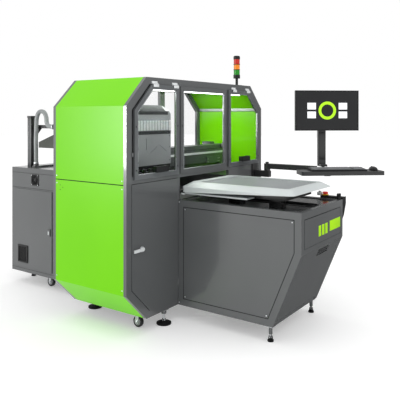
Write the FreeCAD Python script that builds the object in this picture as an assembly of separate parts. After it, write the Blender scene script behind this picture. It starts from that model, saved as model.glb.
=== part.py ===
"""Industrial direct-to-garment textile printer, in millimetres.

An eight-sided print tower stands between a platen table at the front and a service cabinet
behind.  X runs along the tower's front, Y from the front to the back, Z up from the floor.
The pieces are laid out from the tower's front-left corner, then moved so that the origin is
the middle of the whole footprint, on the floor.
"""
import FreeCAD
import Part
import math
import os

V = FreeCAD.Vector

# ---- driving dimensions: print tower -------------------------------------------------
TOWER_W = 1720.0          # across the front
TOWER_D = 675.0           # front ring to rear ring
FLOOR_GAP = 100.0         # underside above the floor
TOWER_H = 1560.0          # frame height
CHAMFER = 190.0           # the four sloping corners
RING_FACE = 46.0          # width of the ring's front face
RING_DEPTH = 25.0
SHEET = 4.0               # folded sheet panels
SEAM_H = 880.0            # the seam between upper and lower side panels, above the underside
SEAM_GAP = 6.0
BEAM_H = 45.0             # cross beam over the platen tunnel
MULLION_LEFT = 533.0
MULLION_RIGHT = TOWER_W - 568.0
REAR_MULLION_INSET = 562.0
MULLION_W = 36.0
WINDOW_EDGE = 62.0        # door outline inside the tower outline
FLANGE_IN = 32.0          # recessed flange that a door closes against
WINDOW_SILL = 25.0        # door bottom above the beam's lower edge
WINDOW_HEAD = 47.0        # door top below the tower top
STILE = 29.0              # door frame members
DOOR_LAP = 16.0           # door edge beside the mullion's middle
DOOR_T = 13.0
DOOR_GAP = 1.0            # between a door and the ring
PANE_T = 5.0
HINGE_W = 57.0
HINGE_R = 4.5
HINGE_X = (268.0, 484.0, TOWER_W - 464.0, TOWER_W - 248.0)
PULL_FROM_MULLION = 235.0
PULL_W = 122.0
PULL_H = 40.0
PULL_OUT = 32.0
LED_R = 13.0

# ---- driving dimensions: platen table --------------------------------------------------
TABLE_X0 = 524.0
TABLE_W = 681.0
TABLE_L = 926.0           # how far the table stands out in front
TABLE_FOOT_L = 732.0      # the same at floor level, behind the sloping front
TABLE_H = 826.0
KNEE_H = 570.0            # where the front starts to slope back
TABLE_RIM = 46.0          # width of the frame round each table panel
TABLE_BAR = 28.0          # depth of the cross bars
TABLE_EDGE_T = 43.0       # depth of the two side frames
SEAM = 3.0                # open seam round each table panel
TABLE_PLATE_T = 14.0
SLOT_W = 104.0
SLOT_FRONT = 46.0         # from the table's front edge to the slot's round end
RAIL_SPREAD = 72.0        # between the two rails below the slot
PILLAR_W = 74.0
PILLAR_L = 90.0
JAMB_W = 21.0             # uprights each side of the tunnel mouth
PLATEN_W = 624.0          # hold-down frame, outside
PLATEN_L = 856.0
PLATEN_BACK = 6.0         # rear edge in front of the tower face at rest
PRINT_W = 470.0           # garment board inside it
PRINT_L = 668.0
PRINT_SHIFT = -16.0       # board centre from the platen centre, to the front
PLATEN_ROUND = 30.0       # corner radius of the frame below; its top has a larger one
PLATEN_TOP_ROUND = 44.0
PLATEN_Z = 940.0          # garment board top
PLATEN_PAD_Z = 864.0      # underside of the platen's lower plate
PLATEN_PAD_L = 520.0      # lower plate, front to back
FRAME_RISE = 38.0         # the hold-down frame's lower edge rises this much to the front
FRAME_TOP_Z = 948.0
PLATEN_GAP = 6.0
PLATEN_STROKE = 1250.0
RAIL_Z = 742.0
RAIL_END = 1640.0

# ---- driving dimensions: print gantry ---------------------------------------------------
DECK_Z = 935.0
GANTRY_Y = 330.0          # front face of the beam
GANTRY_D = 100.0
GANTRY_Z0 = 1014.0
GANTRY_Z1 = 1160.0
GANTRY_X0 = 80.0
GANTRY_X1 = TOWER_W - 91.0
GANTRY_RAIL_Z = 1088.0
RAIL_SIZE = 15.0
CARRIAGE_X0 = 320.0
CARRIAGE_W = 378.0
CARRIAGE_Y0 = 200.0
CARRIAGE_D = 110.0
CARRIAGE_Z0 = 1058.0
CARRIAGE_Z1 = 1485.0
CARRIAGE_CHAMFER = 62.0
CARRIAGE_BROW = 42.0      # sloping upper front edge
TANK_Z0 = 1303.0
TANK_Z1 = 1377.0
CARRIAGE_STROKE = 840.0
HEAD_Z = 958.0            # nozzle plates
PULLEY_R = 20.0
PULLEY_T = 16.0
PULLEY_X = GANTRY_X1 - 31.0
PULLEY_Z = 1148.0

# ---- driving dimensions: service cabinet -------------------------------------------------
CAB_X0 = 418.0
CAB_X1 = 1310.0
CAB_L = 1026.0
CAB_TOP = 974.0
CAB_DOOR_Y0 = 1186.0
CAB_DOOR_Y1 = 1657.0
CAB_DOOR_Z0 = 144.0
CAB_DOOR_Z1 = 796.0
FAN_Y = 1399.0
FAN_Z = 879.0
FAN_R = 38.0
POST_Y = 1554.0
POST_W = 40.0
POST_TOP = 1391.0
HOSE_R = 18.0
HOSE_X = 500.0
HOSE_START_Y = 1490.0
HOSE_END_Y = 1262.0
HOSE_END_Z = 1318.0
SHROUD_X0 = 480.0
SHROUD_X1 = 1240.0
SHROUD_Z0 = 1142.0
SHROUD_REAR_Y = 1431.0
SHROUD_REAR_H = 48.0
SHROUD_FRONT_H = 308.0

# ---- driving dimensions: operator console ------------------------------------------------
ARM_X = TOWER_W - 120.0
ARM_PIVOT_Y = -123.0
COLUMN_Y = -620.0
ARM_Z = 966.0
ARM_H = 42.0
ARM_W = 46.0
CONSOLE_TURN = -50.0      # the shelf's long side, degrees about Z
SHELF_L = 640.0
SHELF_D = 184.0
SHELF_T = 30.0
SHELF_TOP = 988.0
SHELF_LEFT = 225.0        # from the column to the shelf's left end
COLUMN_W = 62.0
COLUMN_T = 28.0
SCREEN_W = 504.0
SCREEN_H = 314.0
SCREEN_T = 30.0
SCREEN_Z = 1450.0
SCREEN_SHIFT = 18.0

# ---- driving dimensions: feet, casters, signal tower -------------------------------------
PAD_R = 50.0
SMALL_PAD_R = 19.0
WHEEL_R = 38.0
WHEEL_W = 24.0
WHEEL_LIFT = 3.0          # casters hang clear once the feet are wound down
CASTER_TRAIL = 24.0
STACK_X = TOWER_W - 278.0
STACK_Y = 80.0
LENS_R = 25.0
LENS_H = 40.0
RING_H = 5.0

FIT = 0.05                # radial clearance of a turning fit
GAP = 0.5                 # between parts that pass each other

# ---- derived places -----------------------------------------------------------------------
Z0 = FLOOR_GAP
Z1 = FLOOR_GAP + TOWER_H
SEAM_Z = FLOOR_GAP + SEAM_H
BEAM_TOP = SEAM_Z + BEAM_H
TABLE_X1 = TABLE_X0 + TABLE_W
SILL_Z = SEAM_Z + WINDOW_SILL
HEAD_OF_DOOR = Z1 - WINDOW_HEAD
PLATEN_X = TABLE_X0 + TABLE_W / 2
PLATEN_Y = -PLATEN_BACK - PLATEN_L / 2
RAIL_X = (PLATEN_X - RAIL_SPREAD / 2, PLATEN_X + RAIL_SPREAD / 2)
CAB_Y0 = TOWER_D + 1.0
CAB_Y1 = CAB_Y0 + CAB_L
HINGE_Z = HEAD_OF_DOOR + 6.0
HINGE_Y = -DOOR_GAP - DOOR_T / 2
FULL = 5000.0


# ---- shapes ---------------------------------------------------------------------------------
def box(x0, x1, y0, y1, z0, z1):
    return Part.makeBox(x1 - x0, y1 - y0, z1 - z0, V(x0, y0, z0))


def rod(x, y, z, r, length, axis):
    return Part.makeCylinder(r, length, V(x, y, z), axis)


def front_prism(points, y0, y1):
    """A flat outline in X and Z, from y0 to y1."""
    wire = Part.makePolygon([V(x, y0, z) for x, z in points + points[:1]])
    return Part.Face(wire).extrude(V(0, y1 - y0, 0))


def side_prism(points, x0, x1):
    """A flat outline in Y and Z, from x0 to x1."""
    wire = Part.makePolygon([V(x0, y, z) for y, z in points + points[:1]])
    return Part.Face(wire).extrude(V(x1 - x0, 0, 0))


def fuse(first, *rest):
    return first.fuse(list(rest)).removeSplitter() if rest else first


def octagon(inset):
    """The tower's outline, moved inwards square to every side."""
    c = CHAMFER + inset * (2 - math.sqrt(2)) - inset
    lo, hi, left, right = Z0 + inset, Z1 - inset, inset, TOWER_W - inset
    return [(left + c, lo), (right - c, lo), (right, lo + c), (right, hi - c),
            (right - c, hi), (left + c, hi), (left, hi - c), (left, lo + c)]


def table_outline(inset):
    """The platen table's side, moved inwards; the rear edge stays on the tower."""
    lean = math.atan2(TABLE_L - TABLE_FOOT_L, KNEE_H - Z0)
    low, top = Z0 + inset, TABLE_H - inset
    foot = -TABLE_FOOT_L + inset * (math.cos(lean) ** -1 + math.tan(lean)) - 2 * inset * math.tan(lean)
    front = -TABLE_L + inset
    knee = low + (foot - front) / math.tan(lean)
    return [(-inset, low), (-inset, top), (front, top), (front, knee), (foot, low)]


PIECES = {}

# ---- the tower's two folded rings ---------------------------------------------------------------
ring = front_prism(octagon(0), 0, RING_DEPTH).cut(front_prism(octagon(RING_FACE), 0, RING_DEPTH))
beam = box(RING_FACE, TOWER_W - RING_FACE, 0, RING_DEPTH, SEAM_Z, BEAM_TOP)
mullions = [box(x - MULLION_W / 2, x + MULLION_W / 2, 0, RING_DEPTH, BEAM_TOP, Z1 - RING_FACE)
            for x in (MULLION_LEFT, MULLION_RIGHT)]
jambs = [box(x, x + JAMB_W, 0, RING_DEPTH, Z0 + RING_FACE, SEAM_Z)
         for x in (TABLE_X0 - 1, TABLE_X1 + 1 - JAMB_W)]
rim_x0 = MULLION_LEFT + MULLION_W / 2 - 2
rim_x1 = MULLION_RIGHT - MULLION_W / 2 + 2
centre_rim = box(rim_x0, rim_x1, -DOOR_T + 5, 0, SILL_Z, HEAD_OF_DOOR)
centre_rim = centre_rim.cut(box(rim_x0 + STILE, rim_x1 - STILE, -DOOR_T, 0,
                                SILL_Z + STILE, HEAD_OF_DOOR - STILE))
flange = front_prism(octagon(RING_FACE), 4, 8).cut(front_prism(octagon(RING_FACE + FLANGE_IN), 4, 8))
flange = flange.common(box(0, TOWER_W, 0, RING_DEPTH, BEAM_TOP, Z1))
PIECES["front_frame"] = fuse(ring, beam, *mullions, *jambs, centre_rim, flange)

y_rear = TOWER_D - RING_DEPTH
rear_ring = front_prism(octagon(0), y_rear, TOWER_D)
rear_ring = rear_ring.cut(front_prism(octagon(RING_FACE), y_rear, TOWER_D))
rear_beam = box(RING_FACE, TOWER_W - RING_FACE, y_rear, TOWER_D, SEAM_Z, BEAM_TOP)
rear_x = (REAR_MULLION_INSET, TOWER_W - REAR_MULLION_INSET)
rear_mullions = [box(x - 32, x + 32, y_rear, TOWER_D, BEAM_TOP, Z1 - RING_FACE) for x in rear_x]
PIECES["rear_frame"] = fuse(rear_ring, rear_beam, *rear_mullions)

# ---- side, roof and base sheets between the rings -------------------------------------------------
sleeve = front_prism(octagon(0), RING_DEPTH, y_rear)
sleeve = sleeve.cut(front_prism(octagon(SHEET), RING_DEPTH, y_rear))
for side, x0, x1 in (("left", -1, CHAMFER - GAP), ("right", TOWER_W - CHAMFER + GAP, TOWER_W + 1)):
    PIECES[side + "_upper_panel"] = sleeve.common(box(x0, x1, 0, TOWER_D, SEAM_Z, Z1 + 1))
    PIECES[side + "_lower_panel"] = sleeve.common(box(x0, x1, 0, TOWER_D, Z0 - 1, SEAM_Z - SEAM_GAP))
middle = (CHAMFER + GAP, TOWER_W - CHAMFER - GAP, 0, TOWER_D)
PIECES["roof_panel"] = sleeve.common(box(*middle, Z1 - SHEET - 1, Z1 + 1))
caster_spots = {"front": (253.0, 100.0), "rear": (502.0, 1319.0)}
base = sleeve.common(box(*middle, Z0 - 1, Z0 + SHEET + 1))
cx, cy = caster_spots["front"]
PIECES["base_tray"] = fuse(base, box(cx - 35, cx + 35, cy - 35, cy + 35, Z0 - 4, Z0))

# ---- deck: two side bays and the tunnel that the platen runs through ---------------------------------
tunnel_x0, tunnel_x1 = TABLE_X0 - 1, TABLE_X1 + 1
lane_top = TABLE_H - 6
bays = [box(SHEET + 1, tunnel_x0, RING_DEPTH, y_rear, DECK_Z - SHEET, DECK_Z),
        box(tunnel_x1, TOWER_W - SHEET - 1, RING_DEPTH, y_rear, DECK_Z - SHEET, DECK_Z)]
walls = [box(x, x + SHEET, RING_DEPTH, y_rear, lane_top - TABLE_PLATE_T, DECK_Z)
         for x in (tunnel_x0, tunnel_x1 - SHEET)]
lane = box(tunnel_x0, tunnel_x1, RING_DEPTH, y_rear, lane_top - TABLE_PLATE_T, lane_top)
lane = lane.cut(box(PLATEN_X - SLOT_W / 2, PLATEN_X + SLOT_W / 2, 0, TOWER_D, 700, 900))
PIECES["deck"] = fuse(lane, *bays, *walls)

# ---- fixed covers below the beam -------------------------------------------------------------------------
below = front_prism(octagon(RING_FACE), 2, 8)
PIECES["lower_front_panel"] = below.common(
    box(tunnel_x1 + 1, FULL, 0, 20, Z0, SEAM_Z - 1))
rear_cover = front_prism(octagon(RING_FACE), y_rear + 8, y_rear + 14)
PIECES["rear_panels"] = Part.makeCompound(
    [rear_cover.common(box(a, b, 0, FULL, Z0, SEAM_Z)) for a, b in ((0, CAB_X0), (CAB_X1, FULL))])

# ---- fixed glazing ------------------------------------------------------------------------------------------
glass = [box(rim_x0 + STILE, rim_x1 - STILE, -7, -2, SILL_Z + STILE, HEAD_OF_DOOR - STILE)]
rear_glass = front_prism(octagon(RING_FACE), y_rear + 8, y_rear + 8 + PANE_T)
for a, b in ((0, rear_x[0] - 32), (rear_x[0] + 32, rear_x[1] - 32), (rear_x[1] + 32, FULL)):
    glass.append(rear_glass.common(box(a, b, 0, FULL, BEAM_TOP, Z1)))
PIECES["fixed_glazing"] = Part.makeCompound(glass)


# ---- the two window doors, hung from their top edges --------------------------------------------------------------
def door_outline(side, inset):
    """A door's outline: plumb at the mullion, sloping at the tower's corner."""
    x0, z0, z1 = WINDOW_EDGE + inset, SILL_Z + inset, HEAD_OF_DOOR - inset
    x1 = MULLION_LEFT - DOOR_LAP - inset
    if side == "right":
        x1 = TOWER_W - MULLION_RIGHT - DOOR_LAP - inset
    corner = CHAMFER + (WINDOW_EDGE + inset) * math.sqrt(2)
    points = [(x0, z0), (x1, z0), (x1, z1), (corner - (Z1 - z1), z1), (x0, Z1 + x0 - corner)]
    return points if side == "left" else [(TOWER_W - x, z) for x, z in points]


def window_door(side):
    back, front = -DOOR_GAP, -DOOR_GAP - DOOR_T
    outline = front_prism(door_outline(side, 0), front, back)
    light = front_prism(door_outline(side, STILE), front, back)
    frame = outline.cut(light)
    x0, x1 = outline.BoundBox.XMin, outline.BoundBox.XMax
    for x in HINGE_X:
        if x0 < x < x1:
            leaf = box(x - HINGE_W / 2, x + HINGE_W / 2, front - 3, front,
                       HEAD_OF_DOOR - 17, HEAD_OF_DOOR + 3)
            frame = fuse(frame, leaf)
    pane = light.common(box(x0, x1, front + 4, front + 4 + PANE_T, Z0, Z1))
    mid = MULLION_LEFT - PULL_FROM_MULLION if side == "left" else MULLION_RIGHT + PULL_FROM_MULLION
    pull_z = SILL_Z + STILE + 6
    hand = [box(mid - PULL_W / 2, mid + PULL_W / 2, front - PULL_OUT, front - PULL_OUT + 12,
                pull_z, pull_z + PULL_H)]
    for s in (-1, 1):
        px = mid + s * (PULL_W / 2 - 8)
        hand.append(box(px - 8, px + 8, front - PULL_OUT + 6, front + 4, pull_z, pull_z + PULL_H))
    PIECES[side + "_window_frame"] = frame
    PIECES[side + "_window_pane"] = pane
    PIECES[side + "_window_handle"] = fuse(*hand)


window_door("left")
window_door("right")
hinges = []
for x in HINGE_X:
    plate = box(x - HINGE_W / 2, x + HINGE_W / 2, -4, 0, HINGE_Z + 4, HINGE_Z + 16)
    web = box(x - HINGE_W / 2, x + HINGE_W / 2, HINGE_Y + 1, 0, HINGE_Z, HINGE_Z + 4)
    hinges.append(fuse(plate, web, rod(x - HINGE_W / 2, HINGE_Y, HINGE_Z, HINGE_R, HINGE_W, V(1, 0, 0))))
PIECES["window_hinges"] = Part.makeCompound(hinges)

# ---- strip light under the roof ----------------------------------------------------------------------------------------
led_x1 = TOWER_W - 246
led = rod(246, 80, Z1 - 68, LED_R, led_x1 - 246, V(1, 0, 0))
clips = [box(x, x + 14, 72, 88, Z1 - 62, Z1 - SHEET) for x in (300, led_x1 - 68)]
PIECES["led_tube"] = fuse(led, *clips)

# ---- gantry -----------------------------------------------------------------------------------------------------------------
beam_y1 = GANTRY_Y + GANTRY_D
girder = box(GANTRY_X0, GANTRY_X1, GANTRY_Y, beam_y1, GANTRY_Z0, GANTRY_Z1)
legs = [box(x, x + 60, GANTRY_Y + 5, beam_y1 - 5, DECK_Z, GANTRY_Z0)
        for x in (GANTRY_X0, GANTRY_X1 - 60)]
end_plate = box(GANTRY_X1 - 279, GANTRY_X1 - 69, GANTRY_Y - 8, GANTRY_Y, GANTRY_Z0 - 10, GANTRY_Z0 + 46)
motor = box(PULLEY_X - 30, PULLEY_X + 30, beam_y1, beam_y1 + 90, PULLEY_Z - 30, PULLEY_Z + 30)
shaft_bore = rod(PULLEY_X, GANTRY_Y - 60, PULLEY_Z, 7 + FIT, 60 + GANTRY_D, V(0, 1, 0))
girder = girder.cut(shaft_bore)
idler = rod(GANTRY_X0 + 30, GANTRY_Y - 22, PULLEY_Z, PULLEY_R, 22, V(0, 1, 0))
PIECES["gantry_beam"] = fuse(girder, *legs, end_plate, motor, idler)
PIECES["gantry_rail"] = box(GANTRY_X0 + 60, GANTRY_X1 - 20, GANTRY_Y - RAIL_SIZE, GANTRY_Y,
                            GANTRY_RAIL_Z, GANTRY_RAIL_Z + RAIL_SIZE)
pulley = rod(PULLEY_X, GANTRY_Y - 4 - PULLEY_T, PULLEY_Z, PULLEY_R, PULLEY_T, V(0, 1, 0))
teeth = 24
for i in range(teeth):
    a = 2 * math.pi * i / teeth
    notch = rod(PULLEY_X + PULLEY_R * math.cos(a), GANTRY_Y - 40, PULLEY_Z + PULLEY_R * math.sin(a),
                1.2, 40, V(0, 1, 0))
    pulley = pulley.cut(notch)
PIECES["drive_pulley"] = fuse(pulley, rod(PULLEY_X, GANTRY_Y - 4, PULLEY_Z, 7, GANTRY_D, V(0, 1, 0)))

# ---- print carriage ------------------------------------------------------------------------------------------------------------
c0, c1 = CARRIAGE_X0, CARRIAGE_X0 + CARRIAGE_W
cover_outline = [(c0, CARRIAGE_Z0), (c1, CARRIAGE_Z0), (c1, CARRIAGE_Z1 - CARRIAGE_CHAMFER),
                 (c1 - CARRIAGE_CHAMFER, CARRIAGE_Z1), (c0, CARRIAGE_Z1)]
cover = front_prism(cover_outline, CARRIAGE_Y0, CARRIAGE_Y0 + CARRIAGE_D)
cover = cover.cut(box(c0 - 1, c1 + 1, CARRIAGE_Y0 - 1, CARRIAGE_Y0 + 14, TANK_Z0, TANK_Z1))
brow = side_prism([(CARRIAGE_Y0 - 1, CARRIAGE_Z1 - CARRIAGE_BROW), (CARRIAGE_Y0 - 1, CARRIAGE_Z1 + 1),
                   (CARRIAGE_Y0 + CARRIAGE_BROW, CARRIAGE_Z1 + 1)], c0 - 1, c1 + 1)
cover = cover.cut(brow)


def groove(x0, z0, x1, z1):
    """A narrow slot across the cover's face, from one point to the other."""
    length = math.hypot(x1 - x0, z1 - z0)
    cut = box(0, length, CARRIAGE_Y0 - 1, CARRIAGE_Y0 + 4, -2.5, 2.5)
    cut.rotate(V(0, 0, 0), V(0, -1, 0), math.degrees(math.atan2(z1 - z0, x1 - x0)))
    cut.translate(V(x0, 0, z0))
    return cut


vents = [groove(c0 + 101, 1167, c0 + 101, 1251), groove(c0 + 140, 1144, c0 + 218, 1188),
         groove(c0 + 250, 1198, c0 + 325, 1151)]
cover = cover.cut(fuse(*vents))
bearing = box(c0 + 60, c1 - 60, CARRIAGE_Y0 + CARRIAGE_D, GANTRY_Y - GAP - 2, 1066, 1124)
bearing = bearing.cut(box(c0, c1, GANTRY_Y - RAIL_SIZE - GAP, GANTRY_Y,
                          GANTRY_RAIL_Z - GAP, GANTRY_RAIL_Z + RAIL_SIZE + GAP))
PIECES["carriage_cover"] = fuse(cover, bearing)
tank_n = 12
tank_pitch = CARRIAGE_W / tank_n
tanks = [box(c0 + i * tank_pitch + 1, c0 + (i + 1) * tank_pitch - 1, CARRIAGE_Y0 - 4,
             CARRIAGE_Y0 + 12, TANK_Z0 + 2, TANK_Z1 - 2) for i in range(tank_n)]
spine = box(c0 + 1, c1 - 1, CARRIAGE_Y0 + 10, CARRIAGE_Y0 + 14, TANK_Z0 + 2, TANK_Z1 - 2)
PIECES["ink_sub_tanks"] = fuse(spine, *tanks)
head_n = 6
head_pitch = CARRIAGE_W / head_n
heads = [box(c0 + i * head_pitch + 8, c0 + (i + 1) * head_pitch - 8, CARRIAGE_Y0 + 12,
             CARRIAGE_Y0 + CARRIAGE_D - 8, HEAD_Z, CARRIAGE_Z0 - 30) for i in range(head_n)]
head_plate = box(c0 + 2, c1 - 2, CARRIAGE_Y0 + 4, CARRIAGE_Y0 + CARRIAGE_D - 2,
                 CARRIAGE_Z0 - 30, CARRIAGE_Z0)
PIECES["print_heads"] = fuse(head_plate, *heads)

# ---- maintenance station and ink bottles in the left bay ----------------------------------------------------------------------------
station = box(70, tunnel_x0 - 10, 204, 318, DECK_Z, DECK_Z + 16)
station = station.cut(box(78, tunnel_x0 - 18, 212, 310, DECK_Z + 6, DECK_Z + 17))
bottles = [rod(110 + 62 * i, 110, DECK_Z, 24, 96, V(0, 0, 1)) for i in range(5)]
caps = [rod(110 + 62 * i, 110, DECK_Z + 96, 13, 18, V(0, 0, 1)) for i in range(5)]
tray = box(76, 392, 76, 144, DECK_Z, DECK_Z + 10)
PIECES["maintenance_station"] = Part.makeCompound([station, fuse(tray, *bottles, *caps)])

# ---- platen table ------------------------------------------------------------------------------------------------------------------------
side_frames = []
for x in (TABLE_X0, TABLE_X1 - TABLE_EDGE_T):
    outer = side_prism(table_outline(0), x, x + TABLE_EDGE_T)
    side_frames.append(outer.cut(side_prism(table_outline(TABLE_RIM), x, x + TABLE_EDGE_T)))
inner_x = (TABLE_X0 + TABLE_EDGE_T, TABLE_X1 - TABLE_EDGE_T)
cross = [box(*inner_x, -TABLE_L, -TABLE_L + TABLE_BAR, TABLE_H - TABLE_RIM, TABLE_H),
         box(*inner_x, -TABLE_L, -TABLE_L + TABLE_BAR, KNEE_H, KNEE_H + TABLE_BAR),
         box(*inner_x, -TABLE_FOOT_L, -TABLE_FOOT_L + TABLE_BAR, Z0, Z0 + TABLE_BAR),
         box(*inner_x, -TABLE_BAR, -1, Z0, Z0 + TABLE_BAR)]
PIECES["extension_frame"] = fuse(*side_frames, *cross)
rim = TABLE_RIM + SEAM
skin = []
for x, inward in ((TABLE_X0, 1), (TABLE_X1, -1)):
    face_x = sorted((x, x + inward * SHEET))
    back_x = sorted((x + inward * SHEET, x + inward * SHEET * 2))
    skin.append(fuse(side_prism(table_outline(rim), *face_x), side_prism(table_outline(TABLE_RIM), *back_x)))
front_low, front_high = KNEE_H + TABLE_BAR, TABLE_H - TABLE_RIM
skin.append(fuse(box(inner_x[0] + SEAM, inner_x[1] - SEAM, -TABLE_L, -TABLE_L + SHEET,
                     front_low + SEAM, front_high - SEAM),
                 box(*inner_x, -TABLE_L + SHEET, -TABLE_L + SHEET * 2, front_low, front_high)))
slant = (TABLE_L - TABLE_FOOT_L) / (KNEE_H - Z0)
low_z = Z0 + TABLE_BAR


def slant_y(z):
    """Where the sloping front stands at height z."""
    return -TABLE_FOOT_L - slant * (z - Z0)


def slant_sheet(depth, x0, x1):
    """A sheet on the sloping front, its outer face that deep."""
    low, high = slant_y(low_z) + depth, slant_y(KNEE_H) + depth
    return side_prism([(low, low_z), (high, KNEE_H), (high + SHEET, KNEE_H), (low + SHEET, low_z)], x0, x1)


skin.append(fuse(slant_sheet(0, inner_x[0] + SEAM, inner_x[1] - SEAM), slant_sheet(SHEET, *inner_x)))
PIECES["extension_panels"] = Part.makeCompound(skin)

plate = box(inner_x[0] + 3, inner_x[1] - 3, -TABLE_L + TABLE_BAR + 4, -1,
            TABLE_H - 6 - TABLE_PLATE_T, TABLE_H - 6)
slot_end = -TABLE_L + SLOT_FRONT + SLOT_W / 2
slot = box(PLATEN_X - SLOT_W / 2, PLATEN_X + SLOT_W / 2, slot_end, 10, 700, 900)
plate = plate.cut(fuse(slot, rod(PLATEN_X, slot_end, 700, SLOT_W / 2, 200, V(0, 0, 1))))
bearer_y = (-TABLE_L + 86, -60)
bearers = [box(inner_x[0], inner_x[1], y, y + 40, RAIL_Z - 34, RAIL_Z - 4) for y in bearer_y]
legs_up = [box(x, x + 20, y + 10, y + 30, RAIL_Z - 4, TABLE_H - 6 - TABLE_PLATE_T)
           for y in bearer_y for x in (inner_x[0] + 4, inner_x[1] - 24)]
PIECES["table_top"] = fuse(plate, *bearers, *legs_up)
rails = []
for x in RAIL_X:
    web = box(x - 7, x + 7, -TABLE_L + 46, RAIL_END, RAIL_Z - 4, RAIL_Z + 12)
    rails.append(fuse(web, box(x - 11, x + 11, -TABLE_L + 46, RAIL_END, RAIL_Z + 4, RAIL_Z + 9)))
PIECES["platen_rails"] = Part.makeCompound(rails)

# ---- platen -----------------------------------------------------------------------------------------------------------------------------------
px0, px1 = PLATEN_X - PLATEN_W / 2, PLATEN_X + PLATEN_W / 2
py0, py1 = PLATEN_Y - PLATEN_L / 2, PLATEN_Y + PLATEN_L / 2
lower = box(px0 + 16, px1 - 16, py1 - PLATEN_PAD_L, py1 - 16, PLATEN_PAD_Z, PLATEN_PAD_Z + 10)
spine = box(px0 + 170, px1 - 170, py0 + 110, py1 - 110, PLATEN_PAD_Z, PLATEN_PAD_Z + 12)
risers = box(px0 + 110, px1 - 110, py0 + 110, py1 - 110, PLATEN_PAD_Z + 10, PLATEN_Z - 14)
pillars = []
for y in (PLATEN_Y - 160, PLATEN_Y + 160):
    for x in RAIL_X:
        shoe = box(x - 18, x + 18, y - 40, y + 40, RAIL_Z + 12 + GAP, RAIL_Z + 34)
        cheeks = [box(x + a, x + b, y - 40, y + 40, RAIL_Z, RAIL_Z + 13)
                  for a, b in ((-18, -11 - GAP), (11 + GAP, 18))]
        pillars += [shoe, *cheeks]
    bridge = box(RAIL_X[0] - 18, RAIL_X[1] + 18, y - 40, y + 40, RAIL_Z + 30, RAIL_Z + 38)
    stem = box(PLATEN_X - PILLAR_W / 2, PLATEN_X + PILLAR_W / 2, y - PILLAR_L / 2, y + PILLAR_L / 2,
               RAIL_Z + 38, PLATEN_PAD_Z)
    pillars += [bridge, stem]
PIECES["platen_carriage"] = fuse(lower, spine, risers, *pillars)
bx0, bx1 = PLATEN_X - PRINT_W / 2, PLATEN_X + PRINT_W / 2
board_y = PLATEN_Y + PRINT_SHIFT
by0, by1 = board_y - PRINT_L / 2, board_y + PRINT_L / 2
board = box(bx0, bx1, by0, by1, PLATEN_Z - 14, PLATEN_Z)
board = board.makeFillet(24, [e for e in board.Edges
                              if abs(e.Vertexes[0].Z - e.Vertexes[-1].Z) > 5])
PIECES["print_plate"] = board

# hold-down frame: a sloping-sided ring that drops over the garment board, hinged at the back
top_in = 46.0


def rounded(x0, x1, y0, y1, z, r):
    """A rounded rectangle's wire at height z."""
    flat = Part.makePlane(x1 - x0, y1 - y0, V(x0, y0, z)).extrude(V(0, 0, 1))
    flat = flat.makeFillet(r, [e for e in flat.Edges
                               if abs(e.Vertexes[0].Z - e.Vertexes[-1].Z) > 0.5])
    return min(flat.Faces, key=lambda f: f.CenterOfMass.z).OuterWire


ring_z0 = PLATEN_PAD_Z + 14
low_wire = rounded(px0, px1, py0, py1, ring_z0, PLATEN_ROUND)
mid_wire = rounded(px0, px1, py0, py1, ring_z0 + FRAME_RISE, PLATEN_ROUND)
top_wire = rounded(px0 + top_in, px1 - top_in, py0 + top_in, py1 - top_in, FRAME_TOP_Z,
                   PLATEN_TOP_ROUND)
skirt = Part.Face(low_wire).extrude(V(0, 0, FRAME_RISE))
slope_ring = Part.makeLoft([mid_wire, top_wire], True, True)
hole = box(bx0 - PLATEN_GAP, bx1 + PLATEN_GAP, by0 - PLATEN_GAP, by1 + PLATEN_GAP,
           ring_z0 - 1, FRAME_TOP_Z + 1)
hole = hole.makeFillet(24 + PLATEN_GAP, [e for e in hole.Edges
                                         if abs(e.Vertexes[0].Z - e.Vertexes[-1].Z) > 5])
under = box(px0 + 84, px1 - 84, py0 + 66, py1 - 66, ring_z0 - 1, PLATEN_Z - 14)
hollow = box(px0 + 8, px1 - 8, py1 - PLATEN_PAD_L - 8, py1 - 8, ring_z0 - 1, ring_z0 + 20)
ring_shape = fuse(skirt, slope_ring).cut(fuse(hole, under, hollow))
wedge = side_prism([(py1 - 60, ring_z0 - 1), (py0 - 1, ring_z0 - 1), (py0 - 1, ring_z0 + FRAME_RISE)],
                   px0 - 1, px1 + 1)
PIECES["hold_down_frame"] = ring_shape.cut(wedge)

# ---- control pod at the table's right-hand corner ---------------------------------------------------------------------------------------------
pod_x0, pod_x1 = TABLE_X1 + 1, TABLE_X1 + 53
wing_x1 = TABLE_X1 + 67
pod_y0, pod_y1 = -TABLE_L + 4, -TABLE_L + 166
pod = box(pod_x0, pod_x1, pod_y0, pod_y1, 790, 838)
wing = front_prism([(pod_x0, 690), (pod_x0 + 26, 712), (wing_x1, 790), (wing_x1, 838), (pod_x0, 838)],
                   -TABLE_L, pod_y0)
bracket = box(pod_x0, pod_x0 + 4, pod_y0, pod_y1, 700, 790)
stop_x, stop_y = TABLE_X1 + 24, -TABLE_L + 136
collar = rod(stop_x, stop_y, 838, 22, 5, V(0, 0, 1))
stop_bore = rod(stop_x, stop_y, 820, 8 + FIT, 40, V(0, 0, 1))
PIECES["control_pod"] = fuse(pod, wing, bracket, collar).cut(stop_bore)
mushroom = rod(stop_x, stop_y, 851, 19, 14, V(0, 0, 1))
mushroom = mushroom.makeFillet(5, [e for e in mushroom.Edges if e.Closed and e.BoundBox.ZMin > 864])
PIECES["estop_button"] = fuse(rod(stop_x, stop_y, 826, 8, 26, V(0, 0, 1)), mushroom)

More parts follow.
